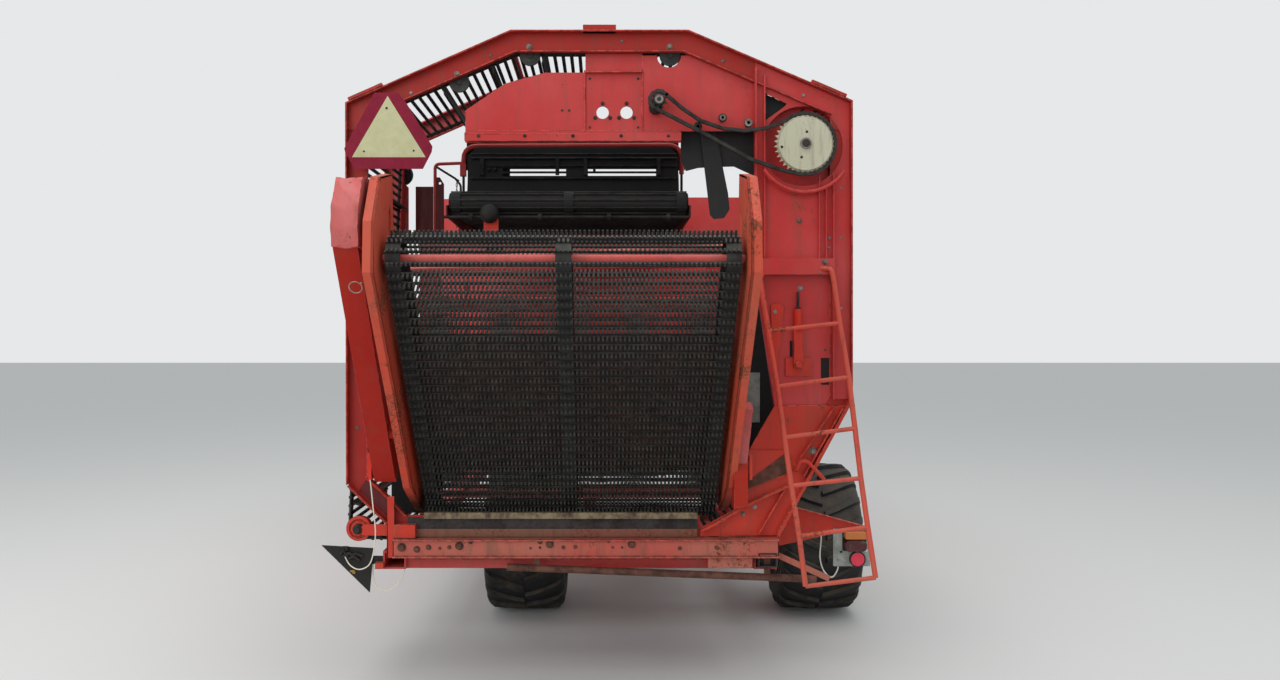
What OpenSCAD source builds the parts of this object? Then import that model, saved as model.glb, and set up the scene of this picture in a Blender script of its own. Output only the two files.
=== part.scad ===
// Trailed two-row potato harvester with a ring elevator, built as separate named pieces.
// x is to the machine's right, y is forward and z is up. The ring's rear face is at y = 0 before the shift to the origin.

/* [Ring elevator] */
// depth of the ring between its two frames
ring_depth = 880; // [600:10:1200]
// sheet thickness of frames and plates
sheet = 8; // [5:1:12]
// height of the ring's top edge over the ground
ring_top = 3280; // [2800:10:3600]
// pitch of the ring web's rubber flights
flight_pitch = 216; // [120:6:360]
// height of the ring web's rubber flights
flight_h = 45; // [30:5:90]
// depth of the flat face of the ring frame
ring_face = 105; // [80:5:150]

/* [Webs] */
// left edge of all webs
web_left = -916; // [-1000:2:-700]
// clear width of all webs, two rows of 750
web_w = 1500; // [1200:10:1700]
// thickness of a web's band
web_t = 10; // [6:1:16]
// pitch of the webs' cross bars drawn in the outline
bar_pitch = 216; // [50:2:260]
// height of a finger on the rear web
finger_h = 35; // [20:1:50]

/* [Chassis] */
// width of the long beams
beam_w = 115; // [80:5:160]
// height of the long beams
beam_h = 90; // [70:5:160]
// underside of the long beams over the ground
beam_z = 595; // [450:5:700]
// inner side of the left long beam
beam_left = -985; // [-1100:5:-900]
// inner side of the right long beam
beam_right = 755; // [650:5:900]
// front end of the long beams
beam_front = 4320; // [3800:10:4800]

/* [Axle and wheels] */
// axle ahead of the ring's rear face
axle_y = 1480; // [1400:10:1700]
// tyre's outside diameter over its lugs
tyre_od = 932; // [800:2:1100]
// tyre's width
tyre_w = 503; // [400:1:620]
// height of the tyre's lugs
lug_h = 26; // [15:1:35]
// rim's diameter at its barrel
rim_d = 434; // [380:1:520]
// left wheel's middle
left_wheel_x = -487; // [-700:1:-300]
// right wheel's middle
right_wheel_x = 1355; // [1100:1:1500]
// from a wheel's middle to its kingpin
kingpin_in = 312; // [280:1:350]

/* [Drawbar] */
// swing pin ahead of the ring's rear face
swing_y = 4405; // [4200:5:4600]
// drawbar's middle
drawbar_x = 100; // [-200:5:300]
// width of the drawbar's box
drawbar_w = 150; // [100:5:200]
// middle of the towing eye ahead of the ring's rear face
eye_y = 7240; // [6900:10:7600]
// height of the towing eye
eye_z = 560; // [400:10:800]
// diameter of the towing eye's hole
eye_d = 50; // [30:1:60]

/* [Bunker and table] */
// rear wall of the bunker
bunker_rear = 3060; // [2900:10:3300]
// front wall of the bunker
bunker_front = 5188; // [4800:10:5500]
// top edge of the bunker
bunker_top = 2900; // [2500:10:3100]
// standing height of the platform
platform_z = 1500; // [1300:10:1800]

/* [Hidden] */
centre_x = 101;
centre_y = 3205;
wheel_z = tyre_od / 2;
beam_top = beam_z + beam_h;
web_right = web_left + web_w;
web_mid = web_left + web_w / 2;
ring_left = -1280;
ring_right = 1240;
// hub of the drive's large wheel
drive_z = ring_top - 572;
// the ring frame's outline, x and z, counter-clockwise from its lower left
ring_outline = [
  [-960, 640], [800, 640], [875, 765], [ring_right, 1440], [ring_right, ring_top - 350],
  [425, ring_top], [-460, ring_top], [ring_left, ring_top - 360], [-1275, 1020], [-1065, 800]];
// the ring web's run, x and z
ring_run = concat([
  [520, 705], [900, 980], [1150, 1420], [1150, ring_top - 410], [400, ring_top - 90],
  [-440, ring_top - 90], [-1190, ring_top - 410]], arc([-1220, 800], 63, 180, 270, 4));
// finger web: its two rollers, y and z
finger_top = [-700, 2090];
finger_foot = [230, 935];
finger_r = 80;
finger_run = norm(finger_top - finger_foot);
finger_d = (finger_top - finger_foot) / finger_run;
finger_n = [-finger_d[1], finger_d[0]];
tilt_y = -90;
tilt_z = 1120;
lift_y = 3300;
lift_z = 1010;
// rollers of the webs, y and z
feed_rear = [620, 1290];
feed_front = [3450, 690];
dig_rear = [lift_y, lift_z];
dig_front = [5560, 330];
table_rear = [260, 2460];
table_front = [3120, 2560];
roller_y = 5960;
roller_z = 520;
disc_y = 5790;
disc_z = 640;
axle_r = 20;
// left side of the beam that carries the axle's middle
keel_left = -130;
jack_x = drawbar_x - drawbar_w / 2 - 52;
jack_y = 6930;
boom_x = -1190;
boom_z = 1690;
// cords: their routes by hand, x, y and z
cable_way = [[1150, 264, 712], [1150, 264, 680], [1144, 263, 595], [1160, 262, 530], [1190, 264, 495],
  [1218, 272, 492], [1245, 283, 540], [1245, 283, 640]];
cable_r = 3.5;
twine_way = [[-1155, -40, 1120], [-1155, -58, 1120], [-1150, -78, 1090], [-1140, -84, 1020], [-1128, -90, 920],
  [-1116, -92, 800], [-1126, -90, 700], [-1150, -80, 635], [-1205, -50, 605], [-1255, -26, 618], [-1285, -15, 660],
  [-1285, -15, 690]];
twine_end_way = [[-1000, 20, 595], [-1000, 20, 570], [-1030, 12, 515], [-1085, 6, 485], [-1135, 4, 510],
  [-1150, 4, 565], [-1150, 4, 620]];
twine_r = 3;
red = [0.72, 0.16, 0.14];
faded = [0.84, 0.42, 0.42];
black = [0.08, 0.08, 0.08];
steel = [0.55, 0.55, 0.55];
cream = [0.81, 0.80, 0.68];

function unit(v) = v / norm(v);
function side(a, b) = let (d = unit(b - a)) [-d[1], d[0]];
function inset(p, d) = [for (i = [0:len(p) - 1])
  let (n1 = side(p[(i + len(p) - 1) % len(p)], p[i]), n2 = side(p[i], p[(i + 1) % len(p)]))
  p[i] + d * (n1 + n2) / (1 + n1 * n2)];
function arc(c, r, a0, a1, n) = [for (i = [0:n]) let (a = a0 + (a1 - a0) * i / n) c + r * [cos(a), sin(a)]];
function count(n, from) = [for (i = [0:n - 1]) from + i];
// the outline round two rollers
function loop(p, q, r) = let (a = atan2(q[1] - p[1], q[0] - p[0]))
  concat(arc(p, r, a + 90, a + 270, 8), arc(q, r, a - 90, a + 90, 8));
// the same run with bars or flights standing on it, h tall and w wide
function ribbed(p, h, w, pitch) = [for (i = [0:len(p) - 1])
  let (a = p[i], b = p[(i + 1) % len(p)], n = floor(norm(b - a) / pitch), d = unit(b - a), s = -side(a, b))
  each concat([a], n < 1 ? [] : [for (k = [0:n - 1]) let (m = a + d * norm(b - a) * (k + 0.5) / n)
    each [m - d * w / 2, m - d * w / 2 + s * h, m + d * w / 2 + s * h, m + d * w / 2]])];
// radius of a roller that fills the loop's inside, whose curve is drawn in eight chords
function seat(r) = r * cos(11.25) - 0.3;
function fw(u, v) = finger_foot + u * finger_d + v * finger_n;
// a smooth way through the points, with n steps to each stretch
function smooth(p, n) = let (last = len(p) - 1, q = concat([2 * p[0] - p[1]], p, [2 * p[last] - p[last - 1]]))
  concat([for (i = [1:last]) for (k = [0:n - 1]) let (t = k / n)
    (2 * q[i] + (q[i + 1] - q[i - 1]) * t + (2 * q[i - 1] - 5 * q[i] + 4 * q[i + 1] - q[i + 2]) * pow(t, 2)
      + (3 * q[i] - q[i - 1] - 3 * q[i + 1] + q[i + 2]) * pow(t, 3)) / 2], [p[last]]);

module block(a, b) translate(a) cube(b - a);
module tube(p, q, r) {
  d = q - p;
  translate(p) rotate([0, acos(d[2] / norm(d)), atan2(d[1], d[0])]) cylinder(h = norm(d), r = r, $fn = 32);
}
module plate_xz(points, y0, y1, paths = undef)
  translate([0, y1, 0]) rotate([90, 0, 0]) linear_extrude(y1 - y0) polygon(points, paths);
module plate_yz(points, x0, x1, paths = undef)
  translate([x0, 0, 0]) rotate([90, 0, 90]) linear_extrude(x1 - x0) polygon(points, paths);
module band_xz(outer, inner, y0, y1)
  plate_xz(concat(outer, inner), y0, y1, [count(len(outer), 0), count(len(inner), len(outer))]);
module band_yz(outer, inner, x0, x1)
  plate_yz(concat(outer, inner), x0, x1, [count(len(outer), 0), count(len(inner), len(outer))]);
module pin_x(y, z, r, x0, x1) translate([x0, y, z]) rotate([0, 90, 0]) cylinder(h = x1 - x0, r = r, $fn = 48);
module pin_y(x, z, r, y0, y1) translate([x, y1, z]) rotate([90, 0, 0]) cylinder(h = y1 - y0, r = r, $fn = 48);
module pin_z(x, y, r, z0, z1) translate([x, y, z0]) cylinder(h = z1 - z0, r = r, $fn = 48);
module web(p, q, r, x0, x1, h, w, pitch) {
  band_yz(ribbed(loop(p, q, r), h, w, pitch), loop(p, q, r - web_t), x0, x1);
}
// a web whose band is open between its bars, in two rows
module open_web(p, q, r, x0, x1) difference() {
  run = norm(q - p);
  n = floor(run / bar_pitch);
  row = (x1 - x0 - 120) / 2;
  web(p, q, r, x0, x1, 8, 14, bar_pitch);
  for (k = [1:n - 1]) for (x = [x0 + 40, x1 - 40 - row])
    translate([x, p[0], p[1]]) rotate([atan2(q[1] - p[1], q[0] - p[0]), 0, 0])
      translate([0, run * k / n - run / n / 2 + 25, -r - 20]) cube([row, run / n - 50, 2 * r + 40]);
}
// a strip that stands on a sheet from a to b
module rib(a, b, wide, y0, y1) {
  up = side(a, b) * wide;
  plate_xz([a, b, b + up, a + up], y0, y1);
}
// a cord swept along a smooth way, with eight sides
module cord(points, r, sides = 8) {
  way = smooth(points, 3);
  last = len(way) - 1;
  rings = [for (i = [0:last]) let (
      d = i == 0 ? unit(points[1] - points[0]) : i == last ? unit(points[len(points) - 1] - points[len(points) - 2])
        : unit(way[i + 1] - way[i - 1]),
      u = unit(cross(d, [1, 1, -1])), v = cross(u, d))
    for (k = [0:sides - 1]) way[i] + r * (cos(360 * k / sides) * u + sin(360 * k / sides) * v)];
  walls = [for (i = [0:last - 1]) for (k = [0:sides - 1]) let (m = (k + 1) % sides)
    each [[i * sides + k, i * sides + m, (i + 1) * sides + m],
      [i * sides + k, (i + 1) * sides + m, (i + 1) * sides + k]]];
  polyhedron(rings, concat([[for (k = [sides - 1:-1:0]) k]], walls, [[for (k = [0:sides - 1]) last * sides + k]]));
}

// chassis
module main_frame() color(red) {
  cross_y = [20, 780, 2130];
  for (x = [beam_left - beam_w, beam_right]) {
    difference() {
      block([x, 0, beam_z], [x + beam_w, beam_front, beam_top]);
      block([x + 9, -1, beam_z + 9], [x + beam_w - 9, 400, beam_top - 9]);
    }
    for (y = [3080, beam_front - 120]) block([x, y, beam_top], [x + beam_w, y + 100, 1640]);
  }
  difference() {
    for (x = [beam_left - 55, beam_right]) block([x, 3180, lift_z - 60], [x + 55, 3360, lift_z + 60]);
    pin_x(lift_y, lift_z, 25.05, beam_left - 56, beam_right + 56);
  }
  for (y = cross_y) block([beam_left, y, beam_z], [beam_right, y + 90, beam_top]);
  block([keel_left, 870, beam_z], [keel_left + 90, 2130, beam_top]);
  block([beam_left, beam_front - 120, 1510], [beam_right, beam_front - 20, 1640]);
  difference() {
    union() {
      block([drawbar_x - 110, beam_front - 20, 1400], [drawbar_x + 110, beam_front, 1640]);
      block([drawbar_x - 110, beam_front, 1400], [drawbar_x + 110, swing_y + 80, 1420]);
      block([drawbar_x - 110, beam_front, 1600], [drawbar_x + 110, swing_y + 80, 1620]);
    }
    pin_z(drawbar_x, swing_y, 20, 1390, 1410);
  }
  pin_z(drawbar_x, swing_y, 30, 1410, 1610);
}
module axle_beam() color(red) {
  left_pin = left_wheel_x + kingpin_in;
  right_pin = right_wheel_x - kingpin_in;
  difference() {
    union() {
      block([left_pin, axle_y - 45, wheel_z - 50], [right_pin, axle_y + 45, wheel_z + 50]);
      for (x = [left_pin, right_pin]) pin_z(x, axle_y, 45, wheel_z - 70, wheel_z + 70);
    }
    for (x = [left_pin, right_pin]) pin_z(x, axle_y, 25.05, wheel_z - 80, wheel_z + 80);
  }
  for (x = [keel_left, beam_right]) block([x, axle_y - 45, wheel_z + 50], [x + 90, axle_y + 45, beam_z]);
}
// side 1 has its wheel to the right of the pin
module knuckle(pin, side) {
  translate([pin, axle_y, wheel_z]) {
    pin_z(0, 0, 25, -95, 95);
    for (z = [-95, 76]) block([min(side * 85, -side * 30), -45, z], [max(side * 85, -side * 30), 45, z + 19]);
    block([min(side * 52, side * 85), -45, -95], [max(side * 52, side * 85), 45, 95]);
    pin_x(0, 0, 40, min(side * 60, side * 345), max(side * 60, side * 345));
    block([-22, 40, -95], [22, 330, -76]);
    pin_z(0, 300, 16, -76, -30);
  }
}
module knuckle_left() color(red) knuckle(left_wheel_x + kingpin_in, -1);
module knuckle_right() color(red) knuckle(right_wheel_x - kingpin_in, 1);
module tie_rod() color(steel) {
  left_pin = left_wheel_x + kingpin_in;
  right_pin = right_wheel_x - kingpin_in;
  z = wheel_z - 70;
  difference() {
    union() {
      for (x = [left_pin, right_pin]) pin_z(x, axle_y + 300, 30, z, z + 30);
      block([left_pin + 20, axle_y + 285, z], [right_pin - 20, axle_y + 315, z + 30]);
    }
    for (x = [left_pin, right_pin]) pin_z(x, axle_y + 300, 16.05, z - 5, z + 35);
  }
}
// a wheel's own x runs along its axle, away from the kingpin
module rim(x, side) {
  r = rim_d / 2;
  translate([x, axle_y, wheel_z]) rotate([0, side * 90, 0]) {
    rotate_extrude($fn = 64) polygon([
      [40.05, -60], [75, -60], [75, -20], [r - 14, -20], [r - 14, -200], [r + 14, -226], [r + 22, -226],
      [r + 22, -214], [r, -190], [r, 190], [r + 22, 214], [r + 22, 226], [r + 14, 226], [r - 14, 200],
      [r - 14, 0], [80, 0], [80, 45], [40.05, 45]]);
  }
}
module rim_left() color(cream) rim(left_wheel_x, -1);
module rim_right() color(cream) rim(right_wheel_x, 1);
// tread shoulder points, across and down from the lugs' tips, with the chevron's lag in steps
module tyre(x) {
  steps = 54;
  half = tyre_w / 2;
  top = tyre_od / 2;
  bead = rim_d / 2 + 0.7;
  profile = [
    [-190, bead, 0, 0], [-half + 4, bead + 60, 0, 0], [-half, top - 110, 0, 0], [-half + 10, top - 45, 1, 4],
    [-half + 40, top - 8, 1, 3], [-120, top - 1, 1, 2], [-15, top, 1, 0], [15, top, 1, 0], [120, top - 1, 1, 2],
    [half - 40, top - 8, 1, 3], [half - 10, top - 45, 1, 4], [half, top - 110, 0, 0], [half - 4, bead + 60, 0, 0],
    [190, bead, 0, 0]];
  rows = len(profile);
  points = [for (i = [0:steps - 1]) for (p = profile)
    let (low = p[2] * ((i + p[3] + 1) % 3 == 0 ? lug_h : 0), a = 360 * i / steps)
    [p[0], (p[1] - low) * sin(a), (p[1] - low) * cos(a)]];
  faces = [for (i = [0:steps - 1]) for (j = [0:rows - 1])
    let (k = (i + 1) % steps, m = (j + 1) % rows)
    each [[i * rows + j, k * rows + j, k * rows + m], [i * rows + j, k * rows + m, i * rows + m]]];
  translate([x, axle_y, wheel_z]) polyhedron(points, faces);
}
module tyre_left() color(black) tyre(left_wheel_x);
module tyre_right() color(black) tyre(right_wheel_x);

// ring elevator
// a frame's sheet is notched round the chassis beams
module ring_frame(y0) difference() {
  band_xz(ring_outline, inset(ring_outline, ring_face), y0, y0 + sheet);
  for (x = [beam_left - beam_w, beam_right]) block([x, y0 - 1, beam_z], [x + beam_w, y0 + sheet + 1, beam_top]);
  block([keel_left, ring_depth - sheet - 1, beam_z], [keel_left + 90, ring_depth + 1, beam_top]);
}
// the rim ends above the place where the web leans out past the frame
module ring_rim(y0, y1) {
  edge = inset(ring_outline, sheet);
  foot = [ring_left + 4.5, 1230];
  plate_xz(concat([for (i = [3:7]) ring_outline[i]], [foot, foot + [sheet, 0]], [for (i = [7:-1:3]) edge[i]]), y0, y1);
}
module ring_frame_rear() color(red) {
  tabs = [[-1262, ring_top - 352], [1205, ring_top - 335]];
  ring_frame(0);
  ring_rim(-40, 60);
  block([ring_left + 102, -40, 1080], [ring_left + 110, 0, ring_top - 440]);
  block([-975, 0, 744], [485, sheet, 865]);
  plate_xz([tabs[0], tabs[0] + [170, 75], tabs[0] + [164, 90], tabs[0] + [-6, 15]], -44, 26);
  plate_xz([tabs[1], tabs[1] + [6, 15], tabs[1] + [-167, 89], tabs[1] + [-173, 74]], -44, 26);
  block([-100, -30, ring_top - sheet], [65, 40, ring_top + 30]);
}
module ring_frame_front() color(red) {
  ring_frame(ring_depth - sheet);
  ring_rim(ring_depth - 60, ring_depth + 20);
}
module ring_ties() color(red) {
  tie_points = [[-470, ring_top - 44], [430, ring_top - 44], [1195, ring_top - 380], [1195, 1900], [1107, 1270]];
  for (p = tie_points) pin_y(p[0], p[1], 20, sheet, ring_depth - sheet);
}
// the ring web lies in lengths, which are joined at the corners with a tenth of a millimetre between them
function web_length(a, b, c, d) = let (
    way = unit(b - a), gap = 0.05 * way, up = side(a, b) * flight_h, half = way * web_t / 2,
    n = floor(norm(c - d) / flight_pitch))
  concat([a + gap, b - gap, c - gap], n < 1 ? [] : [for (k = [n - 1:-1:0]) let (m = d + (c - d) * (k + 0.5) / n)
    each [m + half, m + half + up, m - half + up, m - half]], [d + gap]);
module ring_web() color(black) {
  inner = inset(ring_run, web_t);
  last = len(ring_run) - 1;
  turn = [for (i = [last - 4:last]) ring_run[i]];
  straight = [for (i = [0:last]) if (i < last - 4 || i == last) i];
  difference() {
    for (i = straight) let (j = (i + 1) % (last + 1))
      plate_xz(web_length(ring_run[i], ring_run[j], inner[j], inner[i]), 20, ring_depth - 20);
    for (i = straight) let (
        a = inner[i], b = inner[(i + 1) % (last + 1)], n = floor(norm(b - a) / flight_pitch),
        half = unit(b - a) * (norm(b - a) / max(1, n) / 2 - 25), up = side(a, b) * 15)
      for (k = [1:1:n - 1]) for (y = [[60, 425], [455, 820]]) let (m = a + (b - a) * k / n)
        plate_xz([m - half - up, m + half - up, m + half + up, m - half + up], y[0], y[1]);
  }
  plate_xz(concat(turn, [for (i = [last:-1:last - 4]) inner[i]]), 20, ring_depth - 20);
}
module rear_beam() color(red) {
  difference() {
    block([-1040, -60, 665], [870, 0, 755]);
    block([-1041, -52, 673], [871, 1, 747]);
  }
}
module hood_plates() color(red) {
  low = ring_top - 495;
  plate_xz([[-690, low], [770, low], [770, low + 315], [402, low + 415], [-90, low + 415], [-90, low + 295],
    [-290, low + 295], [-490, low + 240], [-690, low + 105]], sheet, sheet + 6);
  block([-690, -24, low - 57], [390, sheet, low]);
}
module side_panel() color(red) {
  difference() {
    plate_xz([[857, 1415], [1222, 1415], [1231, 1445], [1231, ring_top - 356], [760, ring_top - 154], [760, 2065]],
      -sheet, 0);
    pin_y(997, drive_z, 205, -sheet - 1, 1);
  }
  pin_y(997, drive_z, 215, sheet, sheet + 5);
  // web tensioner: base, slotted guide, tube and screw, with a loose bar beside it
  block([910, -16, 1560], [1045, -sheet, 1690]);
  block([955, -26, 1600], [989, -sheet, 1800]);
  pin_z(972, -20, 17, 1800, 1895);
  pin_z(972, -20, 7, 1895, 1980);
  plate_xz([[845, 1560], [870, 1560], [905, 1910], [872, 1925], [838, 1915]], -14, -sheet);
  // guard lip under the sprocket, and the grey cover behind the column's edge
  for (a = [212:20:292]) rib([997, drive_z] + 236 * [cos(a), sin(a)], [997, drive_z] + 236 * [cos(a + 20), sin(a + 20)],
    8, -66, -sheet);
  block([692, 0, 1329], [850, 3, 1577]);
  block([755, -45, 2065], [763, -sheet, ring_top - 230]);
  plate_xz([[763, 2065], [755, 2065], [852, 1415], [860, 1415]], -45, -sheet);
  block([1075, -30, 2145], [1110, -sheet, ring_top - 720]);
  block([763, -30, 2065], [1150, -sheet, 2145]);
  block([1143, -34, 1445], [1151, -sheet, ring_top - 720]);
}
module lower_plate() color(red) {
  // both ends of each rib
  ribs = [[[876, 768], [1218, 1406]], [[775, 775], [911, 1004]], [[872, 787], [938, 905]],
    [[968, 1129], [1151, 1405]], [[997, 1058], [1195, 1400]]];
  plate_xz([[857, 1414], [720, 1175], [720, 932], [634, 882], [485, 802], [485, 758], [875, 766], [1222, 1414]],
    -sheet, 0);
  for (r = ribs) rib(r[0], r[1], 8, -42, -sheet);
  // the turned edge along the web's way
  plate_xz([[487, 786], [640, 869], [730, 920], [925, 1010], [920, 1021], [725, 931], [634, 880], [487, 799]],
    -42, -sheet);
}
// a chain wheel's outline, with four points to a tooth
function teeth(c, n, r) = [for (k = [0:n - 1]) for (s = [[0, r - 9], [0.3, r - 9], [0.5, r], [0.8, r]])
  c + s[1] * [cos(360 * (k + s[0]) / n), sin(360 * (k + s[0]) / n)]];
module drive_sprockets() color(cream) {
  plate_xz(teeth([997, drive_z], 36, 148), -66, -56);
  pin_y(997, drive_z, 133, -76, -66);
  pin_y(997, drive_z, 45, -90, -76);
  pin_y(997, drive_z, 45, -56, sheet);
  plate_xz(teeth([276, drive_z + 217], 9, 34), -66, -56);
  pin_y(276, drive_z + 217, 18, -75, sheet);
  for (p = [[720, 107], [592, 132], [470, 90]]) pin_y(p[0], drive_z + p[1], 10, -50, sheet);
}
// the chain's upper strand hangs slack
function chain_run() = [for (p = concat(arc([276, 217], 44, 50, 243, 7), [[484, 56], [731, -79], [887, -135]],
  arc([997, 0], 158, 252, 495, 16), [[800, 77], [695, 65], [590, 77], [483, 114]])) p + [0, drive_z]];
module drive_chain() color(black) band_xz(chain_run(), inset(chain_run(), 8), -68, -54);
module tension_pulley() color(red) {
  pin_y(-1220, 800, 51.4, 20, 80);
  pin_y(-1220, 800, 20, -20, 20);
  block([-1240, -20, 780], [-950, -sheet, 820]);
  block([-1075, -sheet, 700], [-1040, 0, 965]);
}

// finger web, tilted by its arms
module finger_web() color(black) {
  web(finger_foot, finger_top, finger_r + web_t, web_left, web_right, finger_h, 10, 50);
}
module finger_plates() color(red) {
  for (x = [web_left - 34, web_right + 22])
    plate_yz([fw(-60, 60), fw(-60, -60), fw(300, -190), fw(1140, -190), fw(1190, -290), fw(1363, -290),
      [-500, 2260], [-530, 2480], [-750, 2430], [-872, 2230], fw(finger_run + 60, 190), fw(250, 190)], x, x + 12);
  for (c = [finger_foot, finger_top])
    pin_x(c[0], c[1], seat(finger_r), web_left - 22, web_right + 22);
  for (c = [[-400, 2108, 17], [-350, 2054, 14]]) pin_x(c[0], c[1], c[2], web_left - 22, web_right + 22);
  plate_yz([fw(130, -40), fw(1010, -40), fw(1010, -46), fw(130, -46)], web_left - 22, web_right + 22);
  for (u = [520, 830, 1090])
    plate_yz([fw(u, -150), fw(u + 70, -150), fw(u + 70, -158), fw(u, -158)], web_left - 22, web_right + 22);
}
module finger_arms() color(red) {
  left_arm = web_left - 202;
  right_arm = web_right + 68;
  plate_yz([[-50, 1060], [-130, 1060], [-860, 2150], [-868, 2230], [-832, 2355], [-780, 2420], [-640, 2440],
    [-570, 2360], [-640, 2100]], left_arm, left_arm + 113);
  plate_yz([[-60, 917], [-150, 917], [-150, 1140], [-330, 1420], [-280, 1450], [-60, 1190]], right_arm,
    right_arm + 48);
  pin_x(tilt_y, tilt_z, 20, left_arm - 22, left_arm);
  pin_x(tilt_y, tilt_z, 20, right_arm + 48, right_arm + 74);
  for (z = [1300, 2060]) pin_x(-90 - (z - 1060) * 0.6, z, 30, left_arm + 113, web_left - 34);
  pin_x(-215, 1270, 30, web_right + 34, right_arm);
}
module pivot_brackets() color(red) {
  difference() {
    union() {
      block([web_left - 254, -40, 1060], [web_left - 210, 0, 1180]);
      block([web_left - 224, -135, 1060], [web_left - 210, -40, 1180]);
      block([web_right + 128, -20, 1050], [900, -sheet, 1190]);
      block([web_right + 128, -135, 1060], [web_right + 142, -20, 1180]);
    }
    pin_x(tilt_y, tilt_z, 20.05, web_left - 234, web_right + 156);
  }
}

// feed web and digging web
module feed_web() color(black) open_web(feed_rear, feed_front, 92, web_left, web_right);
module feed_walls() color(red) {
  wall = [[540, 1200], [540, 1500], [1000, 1560], [3180, 1180], [3180, 880], [3560, 780], [3560, 600], [3400, 590]];
  for (x = [web_left - 34, web_right + 24]) plate_yz(wall, x, x + 10);
  for (c = [feed_front, feed_rear]) pin_x(c[0], c[1], seat(82), web_left - 24, web_right + 24);
  for (y = [960, 2150]) for (x = [[beam_left, web_left - 34], [web_right + 34, beam_right]])
    block([x[0], y, 1250 - (y - 960) * 0.2], [x[1], y + 60, 1310 - (y - 960) * 0.2]);
}
module digging_web() color(black) open_web(dig_rear, dig_front, 72, web_left, web_right);
module intake_frame() color(red) {
  wall = [[3200, 880], [3200, 1150], [3600, 1190], [5300, 900], [5700, 700], [5800, 480], [5800, 290], [5480, 255],
    [5200, 320]];
  arm = [[5330, 850], [5980, 850], [6010, 820], [6010, 480], [5910, 480], [5840, 590], [5740, 590], [5700, 740],
    [5400, 760]];
  for (x = [web_left - 56, web_right + 46]) plate_yz(wall, x, x + 10);
  for (c = [dig_front, dig_rear]) pin_x(c[0], c[1], seat(62), web_left - 46, web_right + 46);
  for (x = [[beam_left - 50, web_left - 46], [web_right + 46, beam_right + 50]]) pin_x(lift_y, lift_z, 25, x[0], x[1]);
  pin_x(5350, 800, 50, web_left - 46, web_right + 46);
  block([web_left - 46, 5650, 270], [web_right + 46, 5690, 300]);
  arm_x = [web_left + 36, web_mid - 36, web_mid + 36, web_right - 56];
  for (x = arm_x) plate_yz(arm, x - 8, x + 8);
  for (i = [0, 2]) pin_x(roller_y, roller_z, axle_r, arm_x[i] - 8, arm_x[i + 1] + 8);
  for (x = [[web_left - 36, arm_x[0]], [arm_x[1], arm_x[2]], [arm_x[3], web_right + 36]])
    pin_x(disc_y, disc_z, axle_r, x[0], x[1]);
}
module share_blades() color(steel) {
  blade = [[5650, 300], [5650, 312], [5700, 312], [5850, 262], [5850, 255], [5700, 300]];
  for (x = [[web_left + 21, web_mid - 24], [web_mid + 24, web_right - 22]]) plate_yz(blade, x[0], x[1]);
}
module ridge_roller(x) color(black) {
  half = web_w / 4 - 85;
  translate([x, roller_y, roller_z]) rotate([0, 90, 0]) rotate_extrude($fn = 64) polygon([
    [axle_r + 0.05, -half], [200, -half], [200, 20 - half], [130, -60], [130, 60], [200, half - 20], [200, half],
    [axle_r + 0.05, half]]);
}
module ridge_roller_left() ridge_roller(web_mid - web_w / 4);
module ridge_roller_right() ridge_roller(web_mid + web_w / 4);
module disc(x) color(steel) difference() {
  union() {
    pin_x(disc_y, disc_z, 290, x - 4, x + 4);
    pin_x(disc_y, disc_z, 60, x - 14, x + 14);
  }
  pin_x(disc_y, disc_z, axle_r + 0.05, x - 20, x + 20);
}
module disc_left() disc(web_left - 20);
module disc_middle() disc(web_mid);
module disc_right() disc(web_right + 20);

// upper frame, table, platform
module upper_frame() color(red) {
  for (y = [960, 2130]) {
    for (x = [beam_left - beam_w, beam_right]) block([x, y, beam_top], [x + beam_w, y + 80, 2370]);
    block([beam_left, y, 2300], [beam_right, y + 80, 2370]);
  }
}
module picking_web() color(black) open_web(table_rear, table_front, 62, -800, 440);
module picking_frame() color(red) {
  board = [[190, 2380], [190, 2700], [1100, 2760], [3200, 2760], [3200, 2480], [2300, 2370], [900, 2370]];
  for (x = [-818, 450]) plate_yz(board, x, x + 8);
  for (c = [table_rear, table_front]) pin_x(c[0], c[1], seat(52), -810, 450);
}
module hoop() color(red) {
  r = 14;
  way = [[-878, 2370], [-878, 2862], [-798, 2936], [412, 2952], [504, 2874], [504, 2370]];
  for (i = [0:4]) tube([way[i][0], 1000, way[i][1]], [way[i + 1][0], 1000, way[i + 1][1]], r);
  for (i = [1:4]) translate([way[i][0], 1000, way[i][1]]) sphere(r = r + 1, $fn = 32);
  // handrail and posts beside it, on the upper frame
  tube([-1014, 1000, 2370], [-1014, 1000, 2798], 11);
  tube([-1014, 1000, 2798], [-878, 1000, 2806], 11);
  translate([-1014, 1000, 2798]) sphere(r = 12, $fn = 32);
  block([-1098, 985, 2370], [-1036, 993, 2660]);
  block([-998, 996, 2370], [-966, 1004, 2722]);
}
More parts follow.
